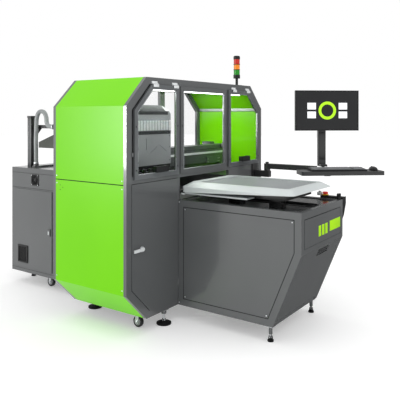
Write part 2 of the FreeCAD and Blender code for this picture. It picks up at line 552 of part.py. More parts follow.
# the knob stands on the table frame's front right corner
knob_x, knob_y = TABLE_X1 - 18, -TABLE_L + 20
knob_bore = rod(knob_x, knob_y, TABLE_H - 16, 5 + FIT, 20, V(0, 0, 1))
PIECES["extension_frame"] = PIECES["extension_frame"].cut(knob_bore)
PIECES["rotary_knob"] = fuse(rod(knob_x, knob_y, TABLE_H - 15, 5, 18, V(0, 0, 1)),
                             rod(knob_x, knob_y, TABLE_H + 1, 14, 38, V(0, 0, 1)),
                             box(knob_x - 1.5, knob_x + 1.5, knob_y - 14, knob_y, TABLE_H + 36, TABLE_H + 42))

# ---- lower service door with its lever ----------------------------------------------------------------------------------------------------------
DOOR_Y = (-4.0, 14.0)
door = front_prism(octagon(RING_FACE + 2), *DOOR_Y)
door_x1 = TABLE_X0 - 4
door = door.common(box(0, door_x1, -20, 40, Z0 + RING_FACE, SEAM_Z - 3))
lever_x, lever_z = 140.0, 560.0
door = door.cut(rod(lever_x, -6, lever_z, 8 + FIT, 16, V(0, 1, 0)))
door_hinge = (door_x1, DOOR_Y[0])
PIECES["lower_door"] = door
lever = fuse(rod(lever_x, -8, lever_z, 8, 14, V(0, 1, 0)), rod(lever_x, -18, lever_z, 13, 12, V(0, 1, 0)),
             box(lever_x - 86, lever_x, -24, -14, lever_z - 9, lever_z + 9))
PIECES["lever_handle"] = lever


# ---- levelling feet --------------------------------------------------------------------------------------------------------------------------------
def foot(x, y, pad_r, top, sleeve_r, sleeve_z):
    pad = rod(x, y, 0, pad_r, 10, V(0, 0, 1))
    cone = Part.makeCone(pad_r * 0.7, 14, 12, V(x, y, 10))
    stud = rod(x, y, 20, 8, top - 20 - 5, V(0, 0, 1))
    nut = rod(x, y, 24, 13, 9, V(0, 0, 1))
    sleeve = rod(x, y, sleeve_z, sleeve_r, top - 6 - sleeve_z, V(0, 0, 1))
    plate = box(x - 24, x + 24, y - 24, y + 24, top - 6, top)
    return fuse(pad, cone, stud, nut, sleeve, plate)


tower_feet = [(400, 26), (TOWER_W - 400, 26), (360, TOWER_D - 35), (TOWER_W - 360, TOWER_D - 35)]
cabinet_feet = [(CAB_X0 + 196, CAB_Y1 - 36), (CAB_X1 - 150, CAB_Y1 - 36), (CAB_X1 - 150, CAB_Y0 + 324)]
table_feet = [(TABLE_X0 + 30, -TABLE_FOOT_L + 28), (TABLE_X1 - 31, -TABLE_FOOT_L + 28)]
PIECES["levelling_feet"] = Part.makeCompound(
    [foot(x, y, PAD_R, Z0, 17, 70) for x, y in tower_feet]
    + [foot(x, y, SMALL_PAD_R, Z0, 11, 46) for x, y in cabinet_feet + table_feet])


# ---- swivel casters, hanging just clear of the floor ---------------------------------------------------------------------------------------------------
def caster(name, x, y, trail_dir):
    wz = WHEEL_R + WHEEL_LIFT
    wy = y + CASTER_TRAIL * trail_dir
    half = WHEEL_W / 2
    crown = rod(x, y, 86, 24, 9.5, V(0, 0, 1))
    bridge = box(x - half - 6, x + half + 6, min(y, wy) - 14, max(y, wy) + 14, 82, 87)
    cheeks = [box(x + a, x + b, wy - 14, wy + 14, wz - 12, 84)
              for a, b in ((-half - 6, -half - 1), (half + 1, half + 6))]
    axle = rod(x - half - 8, wy, wz, 5, WHEEL_W + 16, V(1, 0, 0))
    PIECES["caster_fork_" + name] = fuse(crown, bridge, *cheeks, axle)
    wheel = rod(x - half, wy, wz, WHEEL_R, WHEEL_W, V(1, 0, 0))
    wheel = wheel.makeFillet(4, [e for e in wheel.Edges if e.Closed])
    PIECES["caster_wheel_" + name] = wheel.cut(rod(x - half - 1, wy, wz, 5 + FIT, WHEEL_W + 2, V(1, 0, 0)))


caster("front", *caster_spots["front"], 1)
caster("rear", *caster_spots["rear"], -1)

# ---- service cabinet -----------------------------------------------------------------------------------------------------------------------------------
cab = box(CAB_X0, CAB_X1, CAB_Y0, CAB_Y1, Z0, CAB_TOP)
room = box(CAB_X0 + SHEET, CAB_X1 - SHEET, CAB_Y0 - 1, CAB_Y1 - SHEET, Z0 + SHEET, CAB_TOP - SHEET)
cab = cab.cut(room)
cab = cab.cut(box(CAB_X0 - 1, CAB_X0 + SHEET + 1, CAB_DOOR_Y0 + 16, CAB_DOOR_Y1 - 16,
                  CAB_DOOR_Z0 + 16, CAB_DOOR_Z1 - 16))
cab = cab.cut(rod(CAB_X0 - 1, FAN_Y, FAN_Z, FAN_R, SHEET + 2, V(1, 0, 0)))
fan_x = CAB_X0 + SHEET
fan_half = FAN_R + 4
fan_frame = box(fan_x, fan_x + 24, FAN_Y - fan_half, FAN_Y + fan_half, FAN_Z - fan_half, FAN_Z + fan_half)
fan_frame = fan_frame.cut(rod(fan_x - 1, FAN_Y, FAN_Z, FAN_R, 26, V(1, 0, 0)))
strut = fuse(box(fan_x + 20, fan_x + 24, FAN_Y - FAN_R - 2, FAN_Y + FAN_R + 2, FAN_Z - 4, FAN_Z + 4),
             box(fan_x + 20, fan_x + 24, FAN_Y - 4, FAN_Y + 4, FAN_Z - FAN_R - 2, FAN_Z + FAN_R + 2),
             rod(fan_x + 4, FAN_Y, FAN_Z, 3, 18, V(1, 0, 0)))
cx, cy = caster_spots["rear"]
caster_plate = box(cx - 35, cx + 35, cy - 35, cy + 35, Z0 - 4, Z0)
top_rails = [box(CAB_X0 + 40, CAB_X1 - 40, y, y + 26, CAB_TOP, CAB_TOP + 14) for y in (CAB_Y0 + 60, CAB_Y1 - 240)]
port = rod(HOSE_X, HOSE_START_Y, CAB_TOP, HOSE_R + 5, 30, V(0, 0, 1))
shelf_rails = [box(x - 20, x + 20, y, y + 30, RAIL_Z - 34, RAIL_Z - 4)
               for x in RAIL_X for y in (CAB_Y0 + 40, RAIL_END - 60)]
ties = [box(CAB_X0 + SHEET, CAB_X1 - SHEET, y, y + 30, RAIL_Z - 50, RAIL_Z - 34)
        for y in (CAB_Y0 + 40, RAIL_END - 60)]
PIECES["rear_cabinet"] = fuse(cab, fan_frame, strut, caster_plate, *top_rails, port, *ties, *shelf_rails)

rotor = rod(fan_x + 6, FAN_Y, FAN_Z, 13, 12, V(1, 0, 0))
for i in range(7):
    a = 360.0 * i / 7
    blade = box(fan_x + 10, fan_x + 12, FAN_Y - 7, FAN_Y + 7, FAN_Z + 10, FAN_Z + FAN_R - 3)
    blade.rotate(V(fan_x + 11, FAN_Y, FAN_Z), V(0, 0, 1), 24)
    blade.rotate(V(fan_x, FAN_Y, FAN_Z), V(1, 0, 0), a)
    rotor = rotor.fuse(blade)
PIECES["fan_rotor"] = rotor.cut(rod(fan_x, FAN_Y, FAN_Z, 3 + FIT, 30, V(1, 0, 0)))

door_skin = box(CAB_X0 - 7, CAB_X0 - 1, CAB_DOOR_Y0, CAB_DOOR_Y1, CAB_DOOR_Z0, CAB_DOOR_Z1)
grille = [box(CAB_X0 - 8, CAB_X0, 1500, 1590, 200 + 13 * i, 206 + 13 * i) for i in range(9)]
door_latch = box(CAB_X0 - 15, CAB_X0 - 7, CAB_DOOR_Y0 + 14, CAB_DOOR_Y0 + 44, 440, 496)
PIECES["rear_door"] = fuse(door_skin.cut(fuse(*grille)), door_latch)

# ---- hose post, hose and shroud ------------------------------------------------------------------------------------------------------------------------
post = box(HOSE_X - POST_W / 2, HOSE_X + POST_W / 2, POST_Y - 22, POST_Y + 22, CAB_TOP, POST_TOP)
cap = box(HOSE_X - POST_W / 2 - 3, HOSE_X + POST_W / 2 + 3, POST_Y - 25, POST_Y + 25, POST_TOP, POST_TOP + 17)
arm_x0 = HOSE_X + HOSE_R + 8
arm = box(arm_x0, arm_x0 + 24, HOSE_END_Y - 40, POST_Y - 10, 1303, 1331)
shoulder = box(HOSE_X + POST_W / 2, arm_x0 + 24, POST_Y - 10, POST_Y + 14, 1303, 1331)
gusset = side_prism([(POST_Y - 10, 1303), (POST_Y - 10, 1228), (POST_Y - 90, 1303)], arm_x0 + 9, arm_x0 + 15)
gusset_foot = box(HOSE_X + POST_W / 2, arm_x0 + 15, POST_Y - 10, POST_Y - 4, 1228, 1304)
elbow = box(HOSE_X - 22, arm_x0, HOSE_END_Y - 40, HOSE_END_Y - 12, 1298, 1340)
socket = rod(HOSE_X, HOSE_END_Y - 12, HOSE_END_Z, HOSE_R + 5, 12, V(0, 1, 0))
PIECES["hose_post"] = fuse(post, cap, arm, shoulder, gusset, gusset_foot, elbow, socket)

shroud_side = [(TOWER_D + 2, SHROUD_Z0), (SHROUD_REAR_Y, SHROUD_Z0),
               (SHROUD_REAR_Y, SHROUD_Z0 + SHROUD_REAR_H), (TOWER_D + 2, SHROUD_Z0 + SHROUD_FRONT_H)]
shroud = side_prism(shroud_side, SHROUD_X0, SHROUD_X1)
t = SHEET
shroud_in = [(TOWER_D + 1, SHROUD_Z0 - 1), (SHROUD_REAR_Y - t, SHROUD_Z0 - 1),
             (SHROUD_REAR_Y - t, SHROUD_Z0 + SHROUD_REAR_H - t), (TOWER_D + 1, SHROUD_Z0 + SHROUD_FRONT_H - t)]
shroud = shroud.cut(side_prism(shroud_in, SHROUD_X0 + t, SHROUD_X1 - t))
rear_brace = box(SHROUD_X0 + t, SHROUD_X1 - t, TOWER_D + 2, TOWER_D + 2 + t, SHROUD_Z0, SHROUD_Z0 + 40)
PIECES["wedge_shroud"] = fuse(shroud, rear_brace)

HOSE_ROUTE = [(500, 1490, 1004), (500, 1490, 1090), (498, 1491, 1200), (501, 1489, 1320),
              (502, 1486, 1396), (503, 1455, 1446), (503, 1392, 1446), (502, 1360, 1400),
              (501, 1357, 1350), (500, 1330, 1318), (500, 1262, 1318)]


def tube(route, r):
    """Straight runs joined by tangent arcs, each as large as its two runs allow."""
    pts = [V(*p) for p in route]
    edges, start, length = [], pts[0], 0.0
    for a, b, c in zip(pts, pts[1:], pts[2:]):
        into, out = b - a, c - b
        turn = into.getAngle(out)
        set_back = 0.45 * min(into.Length, out.Length)
        radius = set_back / math.tan(turn / 2)
        u, w = V(into).normalize(), V(out).normalize()
        p, q = b - u * set_back, b + w * set_back
        corner = (w - u).normalize()
        mid = b + corner * (math.hypot(set_back, radius) - radius)
        edges += [Part.LineSegment(start, p).toShape(), Part.Arc(p, mid, q).toShape()]
        print("hose bend radius", round(radius), "turn", round(math.degrees(turn)))
        start = q
    edges.append(Part.LineSegment(start, pts[-1]).toShape())
    path = Part.Wire(edges)
    ring_edge = Part.makeCircle(r, pts[0], pts[1] - pts[0])
    solid = path.makePipeShell([Part.Wire([ring_edge])], True, True)
    print("hose length", round(path.Length), "volume ratio",
          round(solid.Volume / (math.pi * r * r * path.Length), 3))
    return solid


PIECES["suction_hose"] = tube(HOSE_ROUTE, HOSE_R)

# ---- signal tower --------------------------------------------------------------------------------------------------------------------------------------------
UP = V(0, 0, 1)
flange = box(STACK_X - 34, STACK_X + 34, 46, 114, Z1, Z1 + 6)
pole = rod(STACK_X, STACK_Y, Z1 + 6, 11, 58, UP)
socket = rod(STACK_X, STACK_Y, Z1 + 62, LENS_R + 3, 30, UP)
z = Z1 + 92
stack = [flange, pole, socket]
for colour in ("green", "amber", "red"):
    lens = rod(STACK_X, STACK_Y, z, LENS_R, LENS_H, UP).cut(rod(STACK_X, STACK_Y, z, 8, LENS_H, UP))
    PIECES["stack_light_" + colour] = lens
    stack.append(rod(STACK_X, STACK_Y, z - 1, 8, LENS_H + 2, UP))
    z += LENS_H
    if colour != "red":
        stack.append(rod(STACK_X, STACK_Y, z, LENS_R + 2.5, RING_H, UP))
        z += RING_H
dome = rod(STACK_X, STACK_Y, z, LENS_R + 2.5, 30, UP)
dome = dome.makeFillet(11, [e for e in dome.Edges if e.Closed and e.BoundBox.ZMin > z + 20])
PIECES["stack_light_base"] = fuse(*stack, dome)

# ---- operator console ------------------------------------------------------------------------------------------------------------------------------------------
foot_plate = box(ARM_X - 45, ARM_X + 45, -8, 0, 886, 1004)
low_bar = box(ARM_X - 23, ARM_X + 23, ARM_PIVOT_Y - 26, -8, 896, 948)
pin = rod(ARM_X, ARM_PIVOT_Y, 948, 14, 74, UP)
PIECES["console_bracket"] = fuse(foot_plate, low_bar, pin)
hub = rod(ARM_X, ARM_PIVOT_Y, 950, 26, ARM_Z + ARM_H - 950, UP)
bar = box(ARM_X - ARM_W / 2, ARM_X + ARM_W / 2, COLUMN_Y + 60, ARM_PIVOT_Y, ARM_Z, ARM_Z + ARM_H)
yoke = box(ARM_X - 20, ARM_X + 20, COLUMN_Y, COLUMN_Y + 62, ARM_Z + 8, ARM_Z + 34)
eye = rod(ARM_X, COLUMN_Y, ARM_Z + 8, 24, 26, UP)
arm_bore = rod(ARM_X, ARM_PIVOT_Y, 940, 14 + FIT, 90, UP)
eye_bore = rod(ARM_X, COLUMN_Y, ARM_Z, 12 + FIT, 60, UP)
PIECES["console_arm"] = fuse(hub, bar, yoke, eye).cut(fuse(arm_bore, eye_bore))

# the column carries the shelf and the screen; local x along the shelf, local y away from the user
col_y = (30.0, 30.0 + COLUMN_T)
stem = rod(0, 0, ARM_Z - 20, 12, ARM_H + 40, UP)
knuckles = [box(-26, 26, -26, 26, ARM_Z - 20, ARM_Z - 4),
            box(-26, 26, -26, col_y[1], ARM_Z + ARM_H + 2, ARM_Z + ARM_H + 18)]
column = box(-COLUMN_W / 2, COLUMN_W / 2, col_y[0], col_y[1], ARM_Z + ARM_H + 2, SCREEN_Z + 60)
shelf_y1 = -26.0
shelf = box(-SHELF_LEFT, SHELF_L - SHELF_LEFT, shelf_y1 - SHELF_D, shelf_y1, SHELF_TOP - SHELF_T, SHELF_TOP)
shelf = shelf.makeFillet(16, [e for e in shelf.Edges if abs(e.Vertexes[0].Z - e.Vertexes[-1].Z) > 5])
shelf_arm = box(-24, 24, shelf_y1 - 90, -20, SHELF_TOP - SHELF_T - 14, SHELF_TOP - SHELF_T)
tilt_y, tilt_z = 12.0, SCREEN_Z
clevis = [box(a, b, tilt_y - 8, col_y[0], tilt_z - 12, tilt_z + 12) for a, b in ((-30, -20), (20, 30))]
tilt_pin = rod(-30, tilt_y, tilt_z, 4, 60, V(1, 0, 0))
keyboard_x, keyboard_w, keyboard_d = 72.0, 430.0, 130.0
key_y = (shelf_y1 - SHELF_D / 2 - keyboard_d / 2, shelf_y1 - SHELF_D / 2 + keyboard_d / 2)
keyboard = side_prism([(key_y[0], SHELF_TOP), (key_y[0], SHELF_TOP + 11), (key_y[1], SHELF_TOP + 20),
                       (key_y[1], SHELF_TOP)], keyboard_x - keyboard_w / 2, keyboard_x + keyboard_w / 2)
mouse = box(330, 390, -170, -64, SHELF_TOP, SHELF_TOP + 30)
mouse = mouse.makeFillet(13, [e for e in mouse.Edges if e.BoundBox.ZMax > SHELF_TOP + 1])
sx0 = SCREEN_SHIFT - SCREEN_W / 2
body_y = (-48.0, -48.0 + SCREEN_T)
monitor = box(sx0, sx0 + SCREEN_W, *body_y, tilt_z - SCREEN_H / 2, tilt_z + SCREEN_H / 2)
mount = box(-60, 60, body_y[1], body_y[1] + 12, tilt_z - 60, tilt_z + 60)
lug = box(-19, 19, body_y[1] + 11, tilt_y + 8, tilt_z - 10, tilt_z + 10)
monitor = fuse(monitor, mount, lug).cut(rod(-40, tilt_y, tilt_z, 4 + FIT, 80, V(1, 0, 0)))
local = {"console_column": fuse(stem, *knuckles, column, shelf, shelf_arm, *clevis, tilt_pin),
         "keyboard": keyboard, "mouse": mouse, "monitor": monitor}
for name, shape in local.items():
    shape.rotate(V(0, 0, 0), UP, CONSOLE_TURN)
    shape.translate(V(ARM_X, COLUMN_Y, 0))
    PIECES[name] = shape

# ---- one origin for all: middle of the footprint, on the floor ----------------------------------------------------------------------------------------------
whole = Part.makeCompound(list(PIECES.values())).optimalBoundingBox(False, False)
ORIGIN = V((whole.XMin + whole.XMax) / 2, (whole.YMin + whole.YMax) / 2, 0)

os.makedirs("parts", exist_ok=True)
for name, shape in PIECES.items():
    shape.translate(ORIGIN * -1)
    if not shape.isValid():
        print("INVALID", name)
    if shape.BoundBox.ZMin < -0.01:
        print("BELOW FLOOR", name, shape.BoundBox.ZMin)
    shape.exportStep("parts/" + name + ".step")
print(len(PIECES), "pieces; origin", ORIGIN, "size", whole.XLength, whole.YLength, whole.ZLength)
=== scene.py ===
"""Industrial garment printer: finishes and fine pieces around the machine's fixed frame."""
import bpy
import math
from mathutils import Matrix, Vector


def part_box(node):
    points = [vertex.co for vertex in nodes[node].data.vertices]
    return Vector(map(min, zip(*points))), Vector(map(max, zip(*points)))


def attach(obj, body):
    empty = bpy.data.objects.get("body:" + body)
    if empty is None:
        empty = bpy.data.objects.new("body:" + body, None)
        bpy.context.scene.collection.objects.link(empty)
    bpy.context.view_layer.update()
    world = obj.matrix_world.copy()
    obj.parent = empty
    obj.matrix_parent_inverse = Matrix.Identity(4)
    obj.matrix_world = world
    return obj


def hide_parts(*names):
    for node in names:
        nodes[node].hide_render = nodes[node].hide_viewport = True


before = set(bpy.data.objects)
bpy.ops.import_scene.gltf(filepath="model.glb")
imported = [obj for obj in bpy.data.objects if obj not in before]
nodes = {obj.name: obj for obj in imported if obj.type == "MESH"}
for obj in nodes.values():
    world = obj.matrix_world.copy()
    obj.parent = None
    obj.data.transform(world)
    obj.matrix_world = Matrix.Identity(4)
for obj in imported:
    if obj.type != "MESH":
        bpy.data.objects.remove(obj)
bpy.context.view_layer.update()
MM = 0.001

# ---- Camera -----------------------------------------------------------------------------------
# A level camera at eye height, ahead of the tower's left corner and looking along the
# platen table's far side.  The shift keeps the uprights plumb and the feet in the picture.
CENTRE_RIM_PROUD = 8
tower_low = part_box("front_frame")[0]
corner = Vector((tower_low.x, tower_low.y + CENTRE_RIM_PROUD * MM, 0))
camera_data = bpy.data.cameras.new("camera")
camera = bpy.data.objects.new("camera", camera_data)
bpy.context.collection.objects.link(camera)
camera.location = corner + Vector((-2.5047, -2.3071, 1.4072))
camera.rotation_euler = (math.radians(90), 0, math.radians(-55))
camera_data.sensor_width = 36
camera_data.lens = 49.33
camera_data.shift_y = -0.21
bpy.context.scene.camera = camera

# ---- Painted sheet-metal frames and covers ----------------------------------------------------
# Folded steel sheet, powder coated in a glossy mid grey.  The coat is baked on, so broad
# reflections drift slightly and a faint orange peel breaks them up.
def linear(code):
    """An sRGB hex colour as the linear colour that a shader socket takes."""
    parts = [int(code[i:i + 2], 16) / 255 for i in (1, 3, 5)]
    return tuple(c / 12.92 if c < 0.04045 else ((c + 0.055) / 1.055) ** 2.4 for c in parts) + (1,)


def add(material, kind, links=None, **settings):
    """Adds a node; links gives its inputs as numbers, colours or (node, output) pairs."""
    tree = material.node_tree
    node = tree.nodes.new(kind)
    for key, value in settings.items():
        setattr(node, key, value)
    for socket, value in (links or {}).items():
        if isinstance(value, tuple) and len(value) == 2:
            tree.links.new(value[0].outputs[value[1]], node.inputs[socket])
        else:
            node.inputs[socket].default_value = value
    return node


def surface(name, colour, roughness, **sockets):
    """A material with one Principled shader, its even values set on the sockets."""
    material = bpy.data.materials.new(name)
    material.use_nodes = True
    shader = material.node_tree.nodes["Principled BSDF"]
    shader.inputs["Base Color"].default_value = linear(colour)
    shader.inputs["Roughness"].default_value = roughness
    for key, value in sockets.items():
        shader.inputs[key.replace("_", " ")].default_value = value
    return material, shader


def mottle(material, shader, colours, cell, rough, grain, depth):
    """Slow drifts of tone and gloss, with a fine grain raised on top; sizes in metres."""
    place = add(material, "ShaderNodeTexCoord")
    cloud = add(material, "ShaderNodeTexNoise", {"Vector": (place, "Object"), "Scale": 1 / cell,
                                                 "Detail": 3.0, "Roughness": 0.55})
    tone = add(material, "ShaderNodeValToRGB", {"Fac": (cloud, "Fac")})
    tone.color_ramp.elements[0].position = 0.3
    tone.color_ramp.elements[1].position = 0.7
    tone.color_ramp.elements[0].color = linear(colours[0])
    tone.color_ramp.elements[1].color = linear(colours[1])
    gloss = add(material, "ShaderNodeMapRange", {"Value": (cloud, "Fac"), "To Min": rough[0],
                                                 "To Max": rough[1]})
    fine = add(material, "ShaderNodeTexNoise", {"Vector": (place, "Object"), "Scale": 1 / grain,
                                                "Detail": 2.0})
    bump = add(material, "ShaderNodeBump", {"Height": (fine, "Fac"), "Strength": depth,
                                            "Distance": 0.002})
    tree = material.node_tree
    tree.links.new(tone.outputs["Color"], shader.inputs["Base Color"])
    tree.links.new(gloss.outputs["Result"], shader.inputs["Roughness"])
    tree.links.new(bump.outputs["Normal"], shader.inputs["Normal"])
    return material


def dress(material, *names):
    """Gives a CAD node's slots a finish."""
    for name in names:
        for place in nodes[name].material_slots:
            place.material = material


grey_coat, grey_shader = surface("powder_coat_grey", "#565859", 0.24, Coat_Weight=0.4,
                                 Coat_Roughness=0.06, Specular_IOR_Level=0.45)
mottle(grey_coat, grey_shader, ("#535556", "#5B5D5E"), 0.9, (0.2, 0.28), 0.014, 0.008)
dress(grey_coat, "front_frame", "rear_frame", "base_tray", "lower_front_panel", "rear_panels",
      "extension_frame", "extension_panels", "lower_door", "rear_cabinet", "rear_door")

# ---- Lime side sheets -------------------------------------------------------------------------
# The folded flanks and the roof: steel sheet, powder coated in a glossy lime green that the
# studio lights wash out a little towards the front edge.
lime_coat, lime_shader = surface("powder_coat_lime", "#78D600", 0.32, Coat_Weight=0.05,
                                 Coat_Roughness=0.22, Specular_IOR_Level=0.12)
mottle(lime_coat, lime_shader, ("#76D400", "#7CDA00"), 0.8, (0.28, 0.36), 0.014, 0.02)
dress(lime_coat, "left_upper_panel", "left_lower_panel", "right_upper_panel",
      "right_lower_panel", "roof_panel")

# ---- Piece-making, from the seam between the lime sheets on -----------------------------------
# Places are in millimetres from the tower's front left corner, at floor level, as the
# machine's own drawing would give them.
bpy.ops.object.select_all(action="DESELECT")


def at(place):
    """A place in millimetres from the tower's corner, in the frame's metres."""
    return corner + Vector(place) * MM


def size_of(node):
    """A CAD node's lowest and highest corners, in millimetres from the tower's corner."""
    low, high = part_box(node)
    return (low - corner) / MM, (high - corner) / MM


def shape_up(soft):
    """Rounds the sharp edges of the piece in hand and shades its curves smooth."""
    piece = bpy.context.active_object
    bpy.ops.object.transform_apply(location=True, rotation=True, scale=True)
    if soft:
        rounder = piece.modifiers.new("edge", "BEVEL")
        rounder.width = soft * MM
        rounder.segments = 2
        rounder.limit_method = "ANGLE"
        bpy.ops.object.modifier_apply(modifier=rounder.name)
    bpy.ops.object.shade_smooth_by_angle(angle=math.radians(35))
    return piece


def block(low, high, soft=0.5, turn=(0, 0, 0)):
    """A box between two corners, turned about its own middle."""
    low, high = Vector(low), Vector(high)
    bpy.ops.mesh.primitive_cube_add(size=1, location=at((low + high) / 2), scale=(high - low) * MM,
                                    rotation=[math.radians(a) for a in turn])
    return shape_up(soft)


AXES = {"X": (0, math.radians(90), 0), "Y": (math.radians(90), 0, 0), "Z": (0, 0, 0)}


def disc(middle, radius, length, axis="Z", soft=0.5, top=None, sides=32):
    """A cylinder about its middle, or a cone when its top has a radius of its own."""
    end = radius if top is None else top
    bpy.ops.mesh.primitive_cone_add(vertices=sides, radius1=radius * MM, radius2=end * MM,
                                    depth=length * MM, location=at(middle), rotation=AXES[axis])
    return shape_up(soft)


def ring(middle, radius, wire, axis="Z"):
    """A round ring of round wire."""
    bpy.ops.mesh.primitive_torus_add(major_segments=48, minor_segments=10, major_radius=radius * MM,
                                     minor_radius=wire * MM, location=at(middle), rotation=AXES[axis])
    return shape_up(0)


def bore(piece, cutter):
    """Cuts one piece out of another and removes the cutter."""
    cut = piece.modifiers.new("bore", "BOOLEAN")
    cut.object = cutter
    cut.operation = "DIFFERENCE"
    bpy.context.view_layer.objects.active = piece
    bpy.ops.object.modifier_apply(modifier=cut.name)
    bpy.data.objects.remove(cutter)
    return piece


def hollow(wide, rise):
    """Turns the flat face being edited into a rim along its outline, raised by a vector."""
    bpy.ops.mesh.inset(thickness=wide * MM)
    bpy.ops.mesh.delete(type="FACE")
    bpy.ops.mesh.select_all(action="SELECT")
    bpy.ops.mesh.extrude_region_move(TRANSFORM_OT_translate={"value": [step * MM for step in rise]})
    bpy.ops.mesh.select_all(action="SELECT")
    bpy.ops.mesh.normals_make_consistent(inside=False)
    bpy.ops.object.mode_set(mode="OBJECT")


def keep(name, body, finish, pieces):
    """Joins what was made into one named piece that rides on a body of the frame."""
    bpy.ops.object.select_all(action="DESELECT")
    for piece in pieces:
        piece.select_set(True)
    whole = pieces[0]
    bpy.context.view_layer.objects.active = whole
    if len(pieces) > 1:
        bpy.ops.object.join()
    whole.name = name
    whole.data.materials.clear()
    whole.data.materials.append(finish)
    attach(whole, body)
    bpy.ops.object.select_all(action="DESELECT")
    return whole


rubber, rubber_shader = surface("epdm_rubber", "#0F1011", 0.7, Specular_IOR_Level=0.2)
mottle(rubber, rubber_shader, ("#0D0E0F", "#141516"), 0.04, (0.62, 0.78), 0.002, 0.15)
tower_0, tower_1 = size_of("front_frame")
rear_1 = size_of("rear_frame")[1]
upper_0, upper_1 = size_of("left_upper_panel")
lower_0, lower_1 = size_of("left_lower_panel")
width, top_z = tower_1.x, tower_1.z
seam_z0, seam_z1 = lower_1.z, upper_0.z
keep("seam_gaskets", "tower", rubber,
     [block((x, upper_0.y + 1, seam_z0 + 0.5), (x + 3, upper_1.y - 1, seam_z1 - 0.5), 0.3)
      for x in (2.2, width - 5.2)])

# ---- Panel screws -----------------------------------------------------------------------------
# Zinc-plated button heads with a hexagon socket, along the lime sheets' front and rear edges
# and in the corners of the table's side panels.
zinc, zinc_shader = surface("zinc_plate", "#C9CCCE", 0.28, Metallic=0.85)
mottle(zinc, zinc_shader, ("#C0C3C5", "#D3D6D8"), 0.03, (0.22, 0.36), 0.002, 0.05)


def screw(place, facing, radius=4.0):
    """A button-head screw standing on a face; facing is the axis and way that it looks."""
    axis, way = facing[1], -1 if facing[0] == "-" else 1
    place = Vector(place)
    out = Vector([way if name == axis else 0 for name in "XYZ"])
    bpy.ops.mesh.primitive_cylinder_add(vertices=24, radius=radius * MM, depth=2.4 * MM,
                                        location=at(place + out * 1.0), rotation=AXES[axis])
    piece = shape_up(0.7)
    bpy.ops.mesh.primitive_cylinder_add(vertices=6, radius=radius * 0.5 * MM, depth=3 * MM,
                                        location=at(place + out * 2.4), rotation=AXES[axis])
    return bore(piece, shape_up(0))


edge_y = (upper_0.y + 11, upper_1.y - 11)
flank_z = (seam_z1 + 22, seam_z0 - 22, lower_0.z + 222)
keep("flank_screws", "tower", zinc,
     [screw((x, y, z), facing) for x, facing in ((0, "-X"), (width, "+X"))
      for y in edge_y for z in flank_z])
holes_y = upper_1.y - 45
keep("flank_plugs", "tower", rubber,
     [disc((-0.1, holes_y - back, seam_z0 - down), 3, 1, "X", 0.2)
      for back, down in ((0, 34), (26, 50), (0, 66))])

# ---- Window seals, beads and fixings ----------------------------------------------------------
# Black seals on the flange round both doors, bright glazing beads along every pane, dark
# screws half-way up the stiles and plain latch blocks on the ring.
CHAMFER = 190
anodised, anodised_shader = surface("anodised_aluminium", "#6E7173", 0.34, Metallic=0.6)
mottle(anodised, anodised_shader, ("#66696B", "#76797B"), 0.25, (0.28, 0.4), 0.003, 0.04)
dress(anodised, "left_window_frame", "right_window_frame", "gantry_beam")
pale_zinc, pale_zinc_shader = surface("pale_zinc_plate", "#E4E7E8", 0.35, Metallic=0.25)
mottle(pale_zinc, pale_zinc_shader, ("#DDE0E1", "#EBEEEF"), 0.03, (0.3, 0.42), 0.002, 0.04)
bead_metal, bead_shader = surface("bright_anodised_bead", "#B4B8BA", 0.25, Metallic=0.8)
mottle(bead_metal, bead_shader, ("#ABAFB1", "#BEC2C4"), 0.1, (0.2, 0.32), 0.002, 0.04)


def edging(path, wide, y0, y1, soft=0.4):
    """Straight strips along a path in X and Z; each stands on the path's left-hand side."""
    strips = []
    for (xa, za), (xb, zb) in zip(path, path[1:]):
        length = math.hypot(xb - xa, zb - za)
        nx, nz = (za - zb) / length, (xb - xa) / length
        mx, mz = (xa + xb + nx * wide) / 2, (za + zb + nz * wide) / 2
        angle = -math.degrees(math.atan2(zb - za, xb - xa))
        strips.append(block((mx - length / 2, y0, mz - abs(wide) / 2),
                            (mx + length / 2, y1, mz + abs(wide) / 2), soft, (0, angle, 0)))
    return strips


def window_path(x0, x1, z0, z1, side):
    """A pane's outline, anticlockwise from its lower left, with the tower's corner cut off."""
    if side == "centre":
        return [(x0, z0), (x1, z0), (x1, z1), (x0, z1), (x0, z0)]
    inset = x0 if side == "left" else width - x1
    cut = CHAMFER + inset * math.sqrt(2)
    left = [(x0, z0), (x1, z0), (x1, z1), (cut - top_z + z1, z1), (x0, top_z + x0 - cut), (x0, z0)]
    if side == "left":
        return left
    return [(x0, z0), (x1, z0), (x1, top_z + inset - cut), (width - cut + top_z - z1, z1),
            (x0, z1), (x0, z0)]


